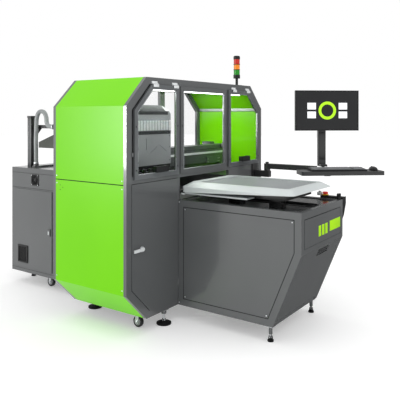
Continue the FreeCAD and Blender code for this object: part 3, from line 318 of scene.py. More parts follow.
door_z0 = size_of("left_window_frame")[0].z
door_z1 = top_z - 47
beam_z = door_z0 + 20
hinge_x = {"left": (268, 484), "right": (width - 464, width - 248)}
black_steel, black_shader = surface("blackened_steel", "#1C1D1E", 0.4, Metallic=0.5)
mottle(black_steel, black_shader, ("#181919", "#222324"), 0.03, (0.34, 0.46), 0.002, 0.08)
mid_z = (door_z0 + door_z1) / 2 + 30
for side in ("left", "right"):
    body = side + "_window"
    pane_0, pane_1 = size_of(body + "_pane")
    frame_0, frame_1 = size_of(body + "_frame")
    path = window_path(pane_0.x, pane_1.x, pane_0.z, pane_1.z, side)
    keep(side + "_bead", body, bead_metal, edging(path, 5, pane_0.y - 3, pane_0.y))
    face_y = pane_0.y - 4
    stiles = (frame_0.x + 14, frame_1.x - 14)
    keep(side + "_stile_screws", body, black_steel,
         [screw((x, face_y, z), "-Y", 4.5) for x in stiles for z in (mid_z, door_z0 + 60)])
    leaves = [block((x - 27, face_y - 5, door_z1 - 16), (x + 27, face_y - 3, door_z1 + 2), 0.8)
              for x in hinge_x[side]]
    heads = [screw((x + dx, face_y - 5, door_z1 - 7), "-Y", 4) for x in hinge_x[side] for dx in (-16, 16)]
    keep(side + "_hinge_leaves", body, pale_zinc, leaves + heads)
    edge = frame_0.x if side == "left" else width - frame_1.x
    cut = CHAMFER + edge * math.sqrt(2)
    seal = [(edge - 2, beam_z + 2), (edge - 2, top_z + edge - cut), (cut - top_z + door_z1 - 2, door_z1)]
    if side == "right":
        seal = [(width - x, z) for x, z in reversed(seal)]
    keep(side + "_door_seal", "tower", rubber, edging(seal, 3.5, 0.5, 3.9))
hinge_plates = [block((x - 27, -5.4, door_z1 + 11), (x + 27, -4.1, door_z1 + 21), 0.4)
                for side in hinge_x for x in hinge_x[side]]
keep("hinge_plates", "tower", pale_zinc, hinge_plates)
keep("latch_blocks", "tower", grey_coat,
     [block((x, -7, z), (x + 14, 3.8, z + 28), 1.5)
      for x, z in ((46.5, 1150), (width - 60.5, 1150), (width - 60.5, 1400), (width - 60.5, 1290))])
centre_path = window_path(578, 1105, door_z0 + 29, door_z1 - 29, "centre")
keep("centre_bead", "tower", bead_metal, edging(centre_path, 5, -9.5, -7.1))
keep("centre_stile_screws", "tower", black_steel,
     [screw((x, -CENTRE_RIM_PROUD, z), "-Y", 4.5) for x in (563, 1120) for z in (mid_z, door_z0 + 60)])

# ---- Glazing ----------------------------------------------------------------------------------
# Cast acrylic sheet, clear with a faint cool tint; polished, so it mirrors the studio.  The
# wedge shroud behind the tower is of smoked sheet.
acrylic = surface("cast_acrylic", "#4A5254", 0.03, Specular_IOR_Level=0.5, Alpha=0.022)[0]
dress(acrylic, "fixed_glazing", "left_window_pane", "right_window_pane")
smoked, smoked_shader = surface("smoked_acrylic", "#4A4D4A", 0.12, Alpha=0.88)
mottle(smoked, smoked_shader, ("#444743", "#555850"), 0.2, (0.1, 0.18), 0.01, 0.01)
dress(smoked, "wedge_shroud")

# ---- Bright steel -----------------------------------------------------------------------------
# Ground and zinc-plated steel, a little uneven in gloss: rails, pulley, hinges, feet, lever
# and the casters' forks.
steel, steel_shader = surface("bright_steel", "#B9BCBE", 0.3, Metallic=0.9)
mottle(steel, steel_shader, ("#AEB1B3", "#C4C7C9"), 0.05, (0.24, 0.38), 0.002, 0.06)
dress(steel, "platen_rails", "drive_pulley", "levelling_feet", "caster_fork_front", "caster_fork_rear")
dress(pale_zinc, "window_hinges", "gantry_rail", "lever_handle")

# ---- Dark coated parts ------------------------------------------------------------------------
# Deck, maintenance station, hose post and the console's column, arm and bracket: steel with a
# satin near-black coat.
dark_coat, dark_shader = surface("powder_coat_black", "#232425", 0.36, Coat_Weight=0.2,
                                 Coat_Roughness=0.15)
mottle(dark_coat, dark_shader, ("#1F2021", "#282929"), 0.3, (0.3, 0.42), 0.006, 0.04)
dress(dark_coat, "deck", "console_column", "console_bracket", "console_arm",
      "maintenance_station", "hose_post")

# ---- Strip light and inner rails --------------------------------------------------------------
# A lit opal tube in a white channel under the roof, and a pale rail along each flank's fold.
# The opal polymer is the ink sub-tanks' too.
opal, opal_shader = surface("opal_polymer", "#D5D8D6", 0.35, Subsurface_Weight=0.2)
mottle(opal, opal_shader, ("#CCD0CE", "#DEE1DF"), 0.04, (0.3, 0.4), 0.003, 0.05)
dress(opal, "ink_sub_tanks")
lit, lit_shader = surface("lit_opal_tube", "#FFFFFF", 0.4, Emission_Strength=6.0)
lit_shader.inputs["Emission Color"].default_value = linear("#FFFFFF")
mottle(lit, lit_shader, ("#F4F6F4", "#FFFFFF"), 0.2, (0.3, 0.4), 0.01, 0.01)
dress(lit, "led_tube")
white_coat, white_shader = surface("powder_coat_white", "#C2C8C8", 0.34, Coat_Weight=0.1)
mottle(white_coat, white_shader, ("#BEC4C4", "#C7CDCD"), 0.3, (0.28, 0.4), 0.006, 0.03)
tube_0, tube_1 = size_of("led_tube")
keep("led_channel", "tower", white_coat,
     [block((tube_0.x - 12, tube_0.y - 4, tube_0.z + 29), (tube_1.x + 12, tube_1.y + 4, tube_0.z + 40), 2),
      block((tube_0.x - 12, tube_0.y + 2, tube_0.z + 1), (tube_0.x + 2, tube_1.y - 2, tube_0.z + 31), 2),
      block((tube_1.x - 2, tube_0.y + 2, tube_0.z + 1), (tube_1.x + 12, tube_1.y - 2, tube_0.z + 31), 2)])
fold_z = top_z - CHAMFER
keep("flank_rails", "tower", white_coat,
     [block((x, upper_0.y + 4, fold_z - 20), (x + 12, upper_1.y - 4, fold_z + 4), 1.5)
      for x in (4.5, width - 16.5)])

# ---- Gantry: belt, apron and end plate screws -------------------------------------------------
# A flat black belt runs round the idler and the drive pulley, above the linear rail.  A dark
# apron hangs below the beam, and zinc screws hold the end plate.
beam_0, beam_1 = size_of("gantry_beam")
pulley_0, pulley_1 = size_of("drive_pulley")
pulley_z = (pulley_0.z + pulley_1.z) / 2
pulley_x = (pulley_0.x + pulley_1.x) / 2
belt_y = (pulley_0.y + 2, pulley_0.y + 12)
idler_x = beam_0.x + 30
BELT_R, BELT_HALF, LINK_HALF, LINKS = 21, 0.8, 4.6, 9
belt = [block((idler_x, belt_y[0], pulley_z + s * BELT_R - BELT_HALF),
              (pulley_x, belt_y[1], pulley_z + s * BELT_R + BELT_HALF), 0.2) for s in (-1, 1)]
for x, start in ((idler_x, 90), (pulley_x, -90)):
    for i in range(LINKS):
        a = math.radians(start + 180 / (LINKS - 1) * i)
        px, pz = x + BELT_R * math.cos(a), pulley_z + BELT_R * math.sin(a)
        belt.append(block((px - LINK_HALF, belt_y[0], pz - BELT_HALF),
                          (px + LINK_HALF, belt_y[1], pz + BELT_HALF), 0, (0, -math.degrees(a) + 90, 0)))
keep("drive_belt", "tower", rubber, belt)
plate_x1 = beam_1.x - 69
keep("gantry_apron", "tower", dark_coat,
     [block((beam_0.x + 61, 342, 936), (beam_1.x - 61, 345, 1013), 0.4)])
keep("end_plate_screws", "tower", zinc,
     [screw((x, beam_0.y + 14, z), "-Y", 5) for x in (plate_x1 - 14, plate_x1 - 34, plate_x1 - 190)
      for z in (1016, 1040)])

# ---- Ink carriage -----------------------------------------------------------------------------
# A grey coated cover with a dark sloping brow, a dark strip below the row of opal sub-tanks,
# ribbed caps on them and small dark screws in the face.
carriage_coat, carriage_shader = surface("carriage_grey_coat", "#94989A", 0.4)
mottle(carriage_coat, carriage_shader, ("#8F9395", "#9A9EA0"), 0.2, (0.34, 0.46), 0.006, 0.04)
dress(carriage_coat, "carriage_cover")
cover_0, cover_1 = size_of("carriage_cover")
tank_0, tank_1 = size_of("ink_sub_tanks")
BROW, END_CAP = 42, 62
brow_coat, brow_shader = surface("textured_charcoal_coat", "#3A3C3D", 0.7, Specular_IOR_Level=0.15)
mottle(brow_coat, brow_shader, ("#363839", "#3F4142"), 0.1, (0.64, 0.78), 0.004, 0.08)
brow_mid = Vector(((cover_0.x + cover_1.x - END_CAP) / 2, cover_0.y + BROW / 2 - 0.8,
                   cover_1.z - BROW / 2 + 0.8))
half = Vector(((cover_1.x - cover_0.x - END_CAP) / 2 - 1, BROW / math.sqrt(2) - 1, 0.7))
strip_y = (cover_0.y - 1.5, cover_0.y - 0.1)
keep("carriage_brow", "print_carriage", brow_coat,
     [block(brow_mid - half, brow_mid + half, 0.3, (45, 0, 0)),
      block((cover_0.x + 1, strip_y[0], tank_0.z - 28), (cover_1.x - 1, strip_y[1], tank_0.z - 5), 0.4),
      block((cover_0.x + 1, strip_y[0], cover_1.z - BROW - 26),
            (cover_1.x - 36, strip_y[1], cover_1.z - BROW - 1), 0.4)])
TANKS = 12
pitch = (tank_1.x - tank_0.x) / TANKS
keep("tank_caps", "print_carriage", opal,
     [disc((tank_0.x + pitch * (i + 0.5), tank_0.y - 1.5, tank_1.z - 12), 7, 3, "Y", 0.6, sides=20)
      for i in range(TANKS)])
keep("tank_ribs", "print_carriage", black_steel,
     [block((tank_0.x + pitch * i - 1.2, tank_0.y - 1, tank_0.z),
            (tank_0.x + pitch * i + 1.2, tank_0.y + 6, tank_1.z), 0.3) for i in range(1, TANKS)])
keep("carriage_screws", "print_carriage", black_steel,
     [screw((x, cover_0.y, z), "-Y", 3.5) for x in (cover_0.x + 16, cover_1.x - 16)
      for z in (1084, 1180, 1262)])

# ---- Moulded black plastics -------------------------------------------------------------------
# Injection-moulded black parts with a satin grain: grips, the control pod, keyboard, mouse,
# screen housing, fan, wheels and the signal tower's pole.
moulded, moulded_shader = surface("moulded_black_plastic", "#131415", 0.42, Specular_IOR_Level=0.3)
mottle(moulded, moulded_shader, ("#101112", "#17181A"), 0.08, (0.36, 0.5), 0.0025, 0.08)
dress(moulded, "left_window_handle", "right_window_handle", "control_pod", "rotary_knob", "keyboard",
      "mouse", "monitor", "fan_rotor", "print_heads", "caster_wheel_front", "caster_wheel_rear",
      "stack_light_base")

# ---- Lower service door -----------------------------------------------------------------------
# The lever turns in a round escutcheon; two grey hinge barrels lie on the door's axis beside
# the table, and a black seal follows the door's seam.
lever_0, lever_1 = size_of("lever_handle")
door_0, door_1 = size_of("lower_door")
lever_z = (lever_0.z + lever_1.z) / 2
lever_x = lever_1.x - 13
keep("lever_escutcheon", "lower_door", zinc,
     [disc((lever_x, door_0.y - 1.2, lever_z), 19, 2.4, "Y", 0.8)])
DOOR_SEAM = 47
door_cut = CHAMFER - DOOR_SEAM * (math.sqrt(2) - 1)
door_path = [(door_1.x, door_1.z + 1.5), (DOOR_SEAM, door_1.z + 1.5),
             (DOOR_SEAM, tower_0.z + DOOR_SEAM + door_cut),
             (DOOR_SEAM + door_cut, tower_0.z + DOOR_SEAM), (door_1.x, tower_0.z + DOOR_SEAM)]
keep("lower_door_seal", "tower", rubber, edging(door_path, 0.9, 1, 6, 0))
keep("lower_door_hinges", "lower_door", grey_coat,
     [disc((door_1.x, door_0.y, z), 3.7, 60, "Z", 0.8) for z in (260, 860)])

# ---- Platen table: top, slot rim and panel screws ---------------------------------------------
# The top is a glossy near-black sheet.  A raised rim with a round front end lines the slot
# that the platen's pillars run in, and brush strips close it on both sides.
top_coat, top_shader = surface("gloss_black_coat", "#323435", 0.2, Coat_Weight=0.5, Coat_Roughness=0.06)
mottle(top_coat, top_shader, ("#2F3132", "#36383A"), 0.4, (0.16, 0.26), 0.01, 0.015)
dress(top_coat, "table_top")
table_0, table_1 = size_of("extension_frame")
plate_z = table_1.z - 6
table_x = (table_0.x + table_1.x) / 2
SLOT_HALF = 52
BRUSH_X = 45
RIM_WIDE = 11
RIM = 46
slot_front = table_0.y + RIM + SLOT_HALF
bpy.ops.mesh.primitive_circle_add(vertices=48, radius=(SLOT_HALF + RIM_WIDE) * MM, fill_type="NGON",
                                  location=at((table_x, slot_front, plate_z + 0.1)))
bpy.ops.object.transform_apply(location=True, rotation=True, scale=True)
rim = bpy.context.active_object
for vertex in rim.data.vertices:
    if vertex.co.y > at((0, slot_front, 0)).y + 1e-5:
        vertex.co.y = at((0, -3, 0)).y
bpy.ops.object.mode_set(mode="EDIT")
bpy.ops.mesh.select_all(action="SELECT")
bpy.ops.mesh.remove_doubles(threshold=0.0005)
hollow(RIM_WIDE, (0, 0, 4.5))
keep("slot_rim", "tower", moulded, [shape_up(1.0)])
keep("slot_brushes", "tower", rubber,
     [block((table_x + s * BRUSH_X - 6.5, slot_front, plate_z - 9),
            (table_x + s * BRUSH_X + 6.5, -4, plate_z - 5), 0.4) for s in (-1, 1)])
BAR, SIDE_T, SHADOW_BAND = 28, 43, 12
# Painted shadow: a matt black strip along the plate's front and side edges stands for the shaded gap between
# the frame and the raised plate.
keep("table_top_shadow_strip", "tower", rubber,
     [block((x, table_0.y + BAR + 0.3, plate_z - 8), (x + SHADOW_BAND, -3, plate_z + 0.8), 0.3)
      for x in (table_0.x + SIDE_T + 0.2, table_1.x - SIDE_T - 0.2 - SHADOW_BAND)]
     + [block((table_0.x + SIDE_T + 1, table_0.y + BAR + 0.3, plate_z - 8),
              (table_1.x - SIDE_T - 1, table_0.y + BAR + 0.3 + SHADOW_BAND / 2, plate_z + 0.8), 0.3)])
SEAM, SEAM_LINE = 3, 4.6
SLOPE, SKIRT_Y, SKIRT_Z = 22.43, -732, 100
lean = math.tan(math.radians(SLOPE))
foot_y = SKIRT_Y + RIM * (1 / math.cos(math.radians(SLOPE)) - lean)
knee_z = SKIRT_Z + RIM + (foot_y - table_0.y - RIM) / lean
side_path = [(-RIM, SKIRT_Z + RIM), (-RIM, table_1.z - RIM), (table_0.y + RIM, table_1.z - RIM),
             (table_0.y + RIM, knee_z), (foot_y, SKIRT_Z + RIM), (-RIM, SKIRT_Z + RIM)]
gaskets = []
for x in (table_0.x - 0.2, table_1.x - 2):
    for (ya, za), (yb, zb) in zip(side_path, side_path[1:]):
        length = math.hypot(yb - ya, zb - za)
        ny, nz = (za - zb) / length, (yb - ya) / length
        my, mz = (ya + yb + ny * SEAM) / 2, (za + zb + nz * SEAM) / 2
        gaskets.append(block((x, my - length / 2, mz - SEAM_LINE / 2),
                             (x + 2.2, my + length / 2, mz + SEAM_LINE / 2), 0,
                             (math.degrees(math.atan2(zb - za, yb - ya)), 0, 0)))
inner = (table_0.x + SIDE_T, table_1.x - SIDE_T)
PANEL_LOW = 598
front_path = [(inner[0], PANEL_LOW), (inner[1], PANEL_LOW), (inner[1], table_1.z - RIM),
              (inner[0], table_1.z - RIM)]
gaskets += edging(front_path[1:] + front_path[:1], SEAM_LINE, table_0.y - 0.2, table_0.y + 2, 0)
keep("table_seams", "tower", rubber, gaskets)
panel_spots = ((-62, 764), (-866, 764), (-62, 164), (-690, 164))
table_sides = ((table_0.x, "-X"), (table_1.x, "+X"))
keep("table_screws", "tower", zinc,
     [screw((x, y, z), facing) for x, facing in table_sides for y, z in panel_spots]
     + [screw((x, -12, z), facing) for x, facing in table_sides for z in (812, 118)])

# ---- Badge and louvre on the table's front ----------------------------------------------------
# A plain lime badge, three bars beside a solid block, and three rows of four short dark
# louvre slots on the slope below it.
vinyl, vinyl_shader = surface("lime_vinyl_film", "#AAE600", 0.5, Specular_IOR_Level=0.15)
mottle(vinyl, vinyl_shader, ("#A6E200", "#AFEA06"), 0.1, (0.34, 0.46), 0.005, 0.03)
badge_y = (table_0.y - 0.9, table_0.y - 0.05)
keep("front_badge", "tower", vinyl,
     [block((x, badge_y[0], 640), (x + 38, badge_y[1], 708), 0.2) for x in (784, 838, 892)]
     + [block((968, badge_y[0], 644), (1156, badge_y[1], 712), 0.2)])
SLOPE_TOP, RUN_BACK = 570, 0.413
louvres = []
for x in (806, 850, 894, 938):
    for z in (514, 530, 546):
        slope_y = table_0.y + (SLOPE_TOP - z) * RUN_BACK
        louvres.append(block((x, slope_y - 2.6, z - 4), (x + 34, slope_y + 1.4, z + 4), 1, (SLOPE, 0, 0)))
keep("front_louvre", "tower", black_steel, louvres)

# ---- Platen -----------------------------------------------------------------------------------
# The hold-down frame and its lower plate are powder coated off-white; the garment board is a
# grey, finely textured polymer sheet in a dark gasket.  The near-black skins on the risers and
# pillars below are painted shade, standing for the shadow under the platen.
dress(white_coat, "hold_down_frame", "platen_carriage")
board, board_shader = surface("garment_board_polymer", "#83888A", 0.5, Specular_IOR_Level=0.3)
mottle(board, board_shader, ("#7E8284", "#8A8E90"), 0.35, (0.46, 0.58), 0.004, 0.05)
dress(board, "print_plate")
board_0, board_1 = size_of("print_plate")
hold_0, hold_1 = size_of("hold_down_frame")
board_mid = (board_0 + board_1) / 2
span = board_1 - board_0
bpy.ops.mesh.primitive_plane_add(size=1, location=at((board_mid.x, board_mid.y, board_1.z - 6)))
bpy.context.active_object.scale = ((span.x + 11) * MM, (span.y + 11) * MM, 1)
bpy.ops.object.transform_apply(location=True, rotation=True, scale=True)
bpy.ops.object.mode_set(mode="EDIT")
bpy.ops.mesh.select_all(action="SELECT")
bpy.ops.mesh.bevel(offset=29 * MM, segments=8, affect="VERTICES")
hollow(5, (0, 0, 4))
keep("board_gasket", "platen", rubber, [shape_up(0)])
pin_y = hold_1.y - 10
hold_mid_y = (hold_0.y + hold_1.y) / 2
keep("hold_down_pins", "platen", black_steel,
     [disc((x, pin_y, 888), 7, 5, "X", 0.8) for x in (hold_0.x - 3, hold_1.x + 3)])
# Painted shade: the risers and pillars under the platen are wrapped in the near-black coat so that they read
# as the shadow beneath it.
INSET = 109
keep("riser_painted_shade", "platen", dark_coat,
     [block((hold_0.x + INSET, hold_0.y + INSET, 863.6), (hold_1.x - INSET, hold_0.y + 330, 925.4), 1),
      block((hold_0.x + INSET, hold_0.y + 329, 874.4), (hold_1.x - INSET, hold_1.y - INSET, 925.4), 1)])
PILLAR = (76, 92)
keep("pillar_painted_shade", "platen", dark_coat,
     [block((table_x - PILLAR[0] / 2, hold_mid_y + dy - PILLAR[1] / 2, 786),
            (table_x + PILLAR[0] / 2, hold_mid_y + dy + PILLAR[1] / 2, 863.5), 1.5) for dy in (-160, 160)])
keep("hold_down_levers", "platen", white_coat,
     [block((hold_0.x - 4, pin_y - 16, 861), (hold_0.x + 15, pin_y + 8, 871), 2),
      block((hold_1.x - 15, pin_y - 16, 861), (hold_1.x + 4, pin_y + 8, 871), 2)])

# ---- Control corner ---------------------------------------------------------------------------
# A yellow collar under the red emergency stop, a pale switch box beside it with a dark key
# barrel, and grip rings on the knob.
yellow, yellow_shader = surface("signal_yellow_plastic", "#E8C400", 0.4)
mottle(yellow, yellow_shader, ("#E2BE00", "#EECB08"), 0.03, (0.34, 0.46), 0.002, 0.05)
pale, pale_shader = surface("pale_grey_plastic", "#C5C8C8", 0.45)
mottle(pale, pale_shader, ("#BEC1C1", "#CCCFCF"), 0.05, (0.4, 0.52), 0.002, 0.06)
stop_0, stop_1 = size_of("estop_button")
stop = (stop_0 + stop_1) / 2
keep("stop_collar", "tower", yellow, [disc((stop.x, stop.y, 844.5), 24, 4, "Z", 1)])
keep("switch_box", "tower", pale,
     [block((stop.x - 20, stop.y + 27, 838.2), (stop.x + 14, stop.y + 56, 862), 2.5)])
keep("switch_key", "tower", moulded, [disc((stop.x - 3, stop.y + 42, 865), 8, 7, "Z", 1)])
knob_0, knob_1 = size_of("rotary_knob")
knob_mid = (knob_0 + knob_1) / 2
keep("knob_grip", "knob", rubber,
     [ring((knob_mid.x, knob_mid.y, knob_1.z - 8 - 5 * i), 14, 1.1) for i in range(4)])
keep("corner_plate", "tower", dark_coat,
     [block((table_1.x - 46, table_0.y + 3, table_1.z + 0.1),
            (table_1.x - 1, table_0.y + 42, table_1.z + 0.9), 0.3)])

# ---- Levelling feet ---------------------------------------------------------------------------
# Black rubber boots over the steel pads, a dark lock nut on each bright stud and a grey
# sleeve between the nut and the frame.
big_feet = [(400, 26), (width - 400, 26), (360, rear_1.y - 35), (width - 360, rear_1.y - 35)]
cab_x0, cab_x1, cab_y0, cab_y1 = 418, 1310, rear_1.y + 1, rear_1.y + 1027
small_feet = [(cab_x0 + 196, cab_y1 - 36), (cab_x1 - 150, cab_y1 - 36), (cab_x1 - 150, cab_y0 + 324),
              (table_0.x + 30, -704), (table_1.x - 31, -704)]
FRAME_LOW = 94
boots, sleeves, nuts = [], [], []
for spots, r, sleeve_r, sleeve_z in ((big_feet, 50, 17, 70), (small_feet, 19, 11, 46)):
    for x, y in spots:
        boots.append(disc((x, y, 5.6), r + 1, 11, "Z", 1.5))
        boots.append(disc((x, y, 17), r * 0.7 + 1, 13, "Z", 1.5, top=15))
        nuts.append(disc((x, y, 28.6), 14.4, 9.4, "Z", 0.8, sides=6))
        sleeves.append(disc((x, y, (sleeve_z + FRAME_LOW) / 2), sleeve_r + 0.8,
                            FRAME_LOW - 1 - sleeve_z, "Z", 0.8))
keep("foot_boots", "tower", rubber, boots)
keep("foot_nuts", "tower", black_steel, nuts)
keep("foot_sleeves", "tower", grey_coat, sleeves)

# ---- Casters ----------------------------------------------------------------------------------
# Bright hub caps with a ring round them on both sides of each wheel, and the axle's nuts
# outside the fork.
for place in ("front", "rear"):
    wheel_0, wheel_1 = size_of("caster_wheel_" + place)
    hub = (wheel_0 + wheel_1) / 2
    hubs = []
    for face_x in (wheel_0.x, wheel_1.x):
        hubs += [disc((face_x, hub.y, hub.z), 16, 1.6, "X", 0.5), ring((face_x, hub.y, hub.z), 22, 1.4, "X")]
    keep("hub_caps_" + place, "wheel_" + place, zinc, hubs)
    keep("axle_nuts_" + place, "caster_" + place, steel,
         [disc((hub.x + s * 20.6, hub.y, hub.z), 8, 5, "X", 0.6, sides=6) for s in (-1, 1)])

# ---- Service cabinet --------------------------------------------------------------------------
# Dark seams across the flank, a round-holed fan guard, a framed filter mesh on the door and a
# pale latch plate.
seams = [block((cab_x0 - 0.5, cab_y0 + 6, z), (cab_x0 + 0.3, cab_y1 - 6, z + 2.4), 0.1)
         for z in (930, 806, 128)]
seams.append(block((cab_x0 - 0.5, cab_y0 + 28, 130), (cab_x0 + 0.3, cab_y0 + 30, 930), 0.1))
keep("cabinet_seams", "tower", rubber, seams)
FAN_Y, FAN_Z = 1399, 879
guard = [ring((cab_x0 - 4.5, FAN_Y, FAN_Z), r, 1.1, "X") for r in (12, 20, 28, 36)]
for angle in (45, -45):
    guard.append(block((cab_x0 - 5.4, FAN_Y - 39, FAN_Z - 1.3), (cab_x0 - 3.4, FAN_Y + 39, FAN_Z + 1.3), 0.4,
                       (angle, 0, 0)))
guard.append(disc((cab_x0 - 4.5, FAN_Y, FAN_Z), 9, 3, "X", 0.5))
plate = block((cab_x0 - 5, FAN_Y - 46, FAN_Z - 46), (cab_x0 - 0.1, FAN_Y + 46, FAN_Z + 46), 1)
bore(plate, disc((cab_x0 - 2, FAN_Y, FAN_Z), 38.5, 20, "X", 0, sides=48))
keep("fan_guard", "tower", moulded, [plate] + guard)
keep("fan_screws", "tower", zinc,
     [screw((cab_x0 - 5, FAN_Y + dy, FAN_Z + dz), "-X", 3.5) for dy in (-39, 39) for dz in (-39, 39)])
VENT = (1544, 254)
vent_x = size_of("rear_door")[0].x + 8


def vent_bar(x0, x1, y0, y1, z0, z1, soft=0):
    """A bar on the rear door, placed from the middle of its vent."""
    return block((vent_x + x0, VENT[0] + y0, VENT[1] + z0), (vent_x + x1, VENT[0] + y1, VENT[1] + z1), soft)


bars = [vent_bar(-8, -0.1, dy - 5, dy + 5, -72, 72, 1.5) for dy in (-57, 57)]
bars += [vent_bar(-8, -0.1, -60, 60, dz - 5, dz + 5, 1.5) for dz in (-67, 67)]
bars += [vent_bar(-4, -2, -54, 54, i * 8.4 - 1, i * 8.4 + 1) for i in range(-7, 8)]
bars += [vent_bar(-4.2, -2.2, i * 8 - 1, i * 8 + 1, -66, 66) for i in range(-6, 7)]
keep("filter_mesh", "rear_door", moulded, bars)
keep("filter_pad", "rear_door", rubber, [vent_bar(-2, -0.2, -55, 55, -65, 65, 0.3)])
latch_y = 1215
keep("latch_plate", "rear_door", white_coat,
     [block((vent_x - 10.4, latch_y - 9, 452), (vent_x - 8.2, latch_y + 7, 480), 1)])

# ---- Suction hose -----------------------------------------------------------------------------
# Smooth grey PVC hose, 36 mm across, from the port on the cabinet's top, up the post, over in
# a tight arch and back into the elbow at the end of the bracket.
pvc, pvc_shader = surface("flexible_pvc_hose", "#8C9090", 0.35)
mottle(pvc, pvc_shader, ("#858989", "#979B9B"), 0.05, (0.28, 0.42), 0.004, 0.08)
port = at((500, 1490, 0))
route = [(0, 0, 1004), (0, 0, 1090), (-2, 1, 1200), (1, -1, 1320), (2, -4, 1396), (3, -35, 1446),
         (3, -98, 1446), (2, -130, 1400), (1, -133, 1350), (0, -160, 1318), (0, -228, 1318)]
curve = bpy.data.curves.new("suction_hose_skin", "CURVE")
curve.dimensions = "3D"
curve.bevel_depth = 18 * MM
curve.bevel_resolution = 8
curve.resolution_u = 16
line = curve.splines.new("NURBS")
line.points.add(len(route) - 1)
for point, (x, y, z) in zip(line.points, route):
    point.co = (port.x + x * MM, port.y + y * MM, z * MM, 1)
line.order_u = 3
line.use_endpoint_u = True
hose = bpy.data.objects.new("hose", curve)
bpy.context.collection.objects.link(hose)
curve.materials.append(pvc)
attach(hose, "tower")
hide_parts("suction_hose")

# ---- Hose post --------------------------------------------------------------------------------
# Slotted profile with a black cable duct up its front, clips behind it and a band clamp at
# each end of the hose.
post_x, post_y = 500, 1554
keep("post_faces", "tower", grey_coat,
     [block((post_x - 21, post_y - 22.6, 976), (post_x - 19.9, post_y - 3, 1389), 0.3),
      block((post_x - 21, post_y + 3, 976), (post_x - 19.9, post_y + 22.6, 1389), 0.3)])
keep("post_duct", "tower", moulded,
     [block((post_x - 14, post_y - 30, 990), (post_x + 14, post_y - 22.1, 1296), 1.5)])
keep("post_clips", "tower", moulded,
     [block((post_x - 16, post_y + 22.1, z), (post_x + 16, post_y + 30, z + 14), 1.5)
      for z in (1090, 1180, 1300)])
keep("hose_clamps", "tower", zinc,
     [disc((500, 1490, 1011), 21, 12, "Z", 0.8), disc((500, 1273, 1318), 21, 12, "Y", 0.8)])

# ---- Signal tower -----------------------------------------------------------------------------
# Three polycarbonate lenses, faintly lit, with thin ribs cast round each, and zinc screws in
# the base's foot on the roof.
for colour, code in (("green", "#078A07"), ("amber", "#F08600"), ("red", "#C21A08")):
    lens, lens_shader = surface("polycarbonate_" + colour, code, 0.25, Emission_Strength=0.15)
    lens_shader.inputs["Emission Color"].default_value = linear(code)
    mottle(lens, lens_shader, (code, code), 0.02, (0.2, 0.32), 0.003, 0.05)
    dress(lens, "stack_light_" + colour)
    lens_0, lens_1 = size_of("stack_light_" + colour)
    mid = (lens_0 + lens_1) / 2
    keep("lens_ribs_" + colour, "tower", lens,
         [ring((mid.x, mid.y, lens_0.z + 5 + 6 * i), 25, 0.9) for i in range(6)])
    if colour == "red":
        # The emergency stop's button takes the red lens finish with its faint glow; the button is no lamp,
        # so on it the glow is painted light.
        dress(lens, "estop_button")
stack_0, stack_1 = size_of("stack_light_base")
stack_x, stack_y = (stack_0.x + stack_1.x) / 2, (stack_0.y + stack_1.y) / 2
keep("stack_screws", "tower", zinc,
     [screw((stack_x + dx, stack_y + dy, top_z + 6), "+Z", 3.5) for dx in (-26, 26) for dy in (-26, 26)])

# ---- Operator console -------------------------------------------------------------------------
# The shelf and screen are square to the column, so their pieces are made square to it at the
# tower's corner and then turned and carried out to the column.
CONSOLE_TURN = -50
console_at = (width - 120, -620, 0)


def to_console(pieces):
    """Turns and carries pieces that were made square, at the corner, to the console."""
    for piece in pieces:
        bpy.ops.object.select_all(action="DESELECT")
        piece.select_set(True)
        bpy.context.view_layer.objects.active = piece
        bpy.ops.transform.translate(value=-corner)
        bpy.ops.object.transform_apply(location=True, rotation=True, scale=True)
        piece.rotation_euler = (0, 0, math.radians(CONSOLE_TURN))
        piece.location = at(console_at)
        bpy.ops.object.transform_apply(location=True, rotation=True, scale=True)
    return pieces


SHELF_TOP = 988
KEY_PITCH, KEY_WIDE, PAD_X = 19, 16, 318
key_mid = Vector((72, -118, SHELF_TOP))
keys = []
for row in range(6):
    y = key_mid.y + 47 - row * KEY_PITCH
    z = SHELF_TOP + 16.4 + (y - key_mid.y) * 9 / 130
    left = key_mid.x - 204
    if row == 5:
        spans = [(0, 60), (64, 240), (244, 300)]
    else:
        spans = [(i * KEY_PITCH, i * KEY_PITCH + KEY_WIDE) for i in range(16)]
    spans += [(PAD_X + i * KEY_PITCH, PAD_X + i * KEY_PITCH + KEY_WIDE) for i in range(4)]
    keys += [block((left + a + 4, y - 8, z - 1), (left + b + 4, y + 8, z + 3.5), 1.2) for a, b in spans]
keycap, keycap_shader = surface("abs_keycaps", "#747678", 0.45)
mottle(keycap, keycap_shader, ("#6E7072", "#7C7E80"), 0.03, (0.4, 0.58), 0.001, 0.08)
keep("keycaps", "console", keycap, to_console(keys))
MOUSE_X = 360
bpy.ops.mesh.primitive_uv_sphere_add(segments=40, ring_count=24, radius=MM,
                                     location=at((MOUSE_X, -117, SHELF_TOP + 5)))
shell = bpy.context.active_object
shell.scale = (29.5, 52.5, 24.5)
bpy.ops.object.transform_apply(location=True, rotation=True, scale=True)
for vertex in shell.data.vertices:
    vertex.co.z = max(vertex.co.z, (SHELF_TOP + 0.3) * MM)
bpy.ops.object.mode_set(mode="EDIT")
bpy.ops.mesh.select_all(action="SELECT")
bpy.ops.mesh.remove_doubles(threshold=0.00005)
bpy.ops.object.mode_set(mode="OBJECT")
mouse = keep("mouse_shell", "console", moulded, to_console([shape_up(0)]))
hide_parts("mouse")
keep("mouse_wheel", "console", rubber,
     to_console([disc((MOUSE_X, -86, SHELF_TOP + 25), 5, 7, "X", 0.8)]))
SCREEN_X, SCREEN_Z, HALF_W, HALF_H, BEZEL = 18, 1450, 252, 157, 9
face_y = -48
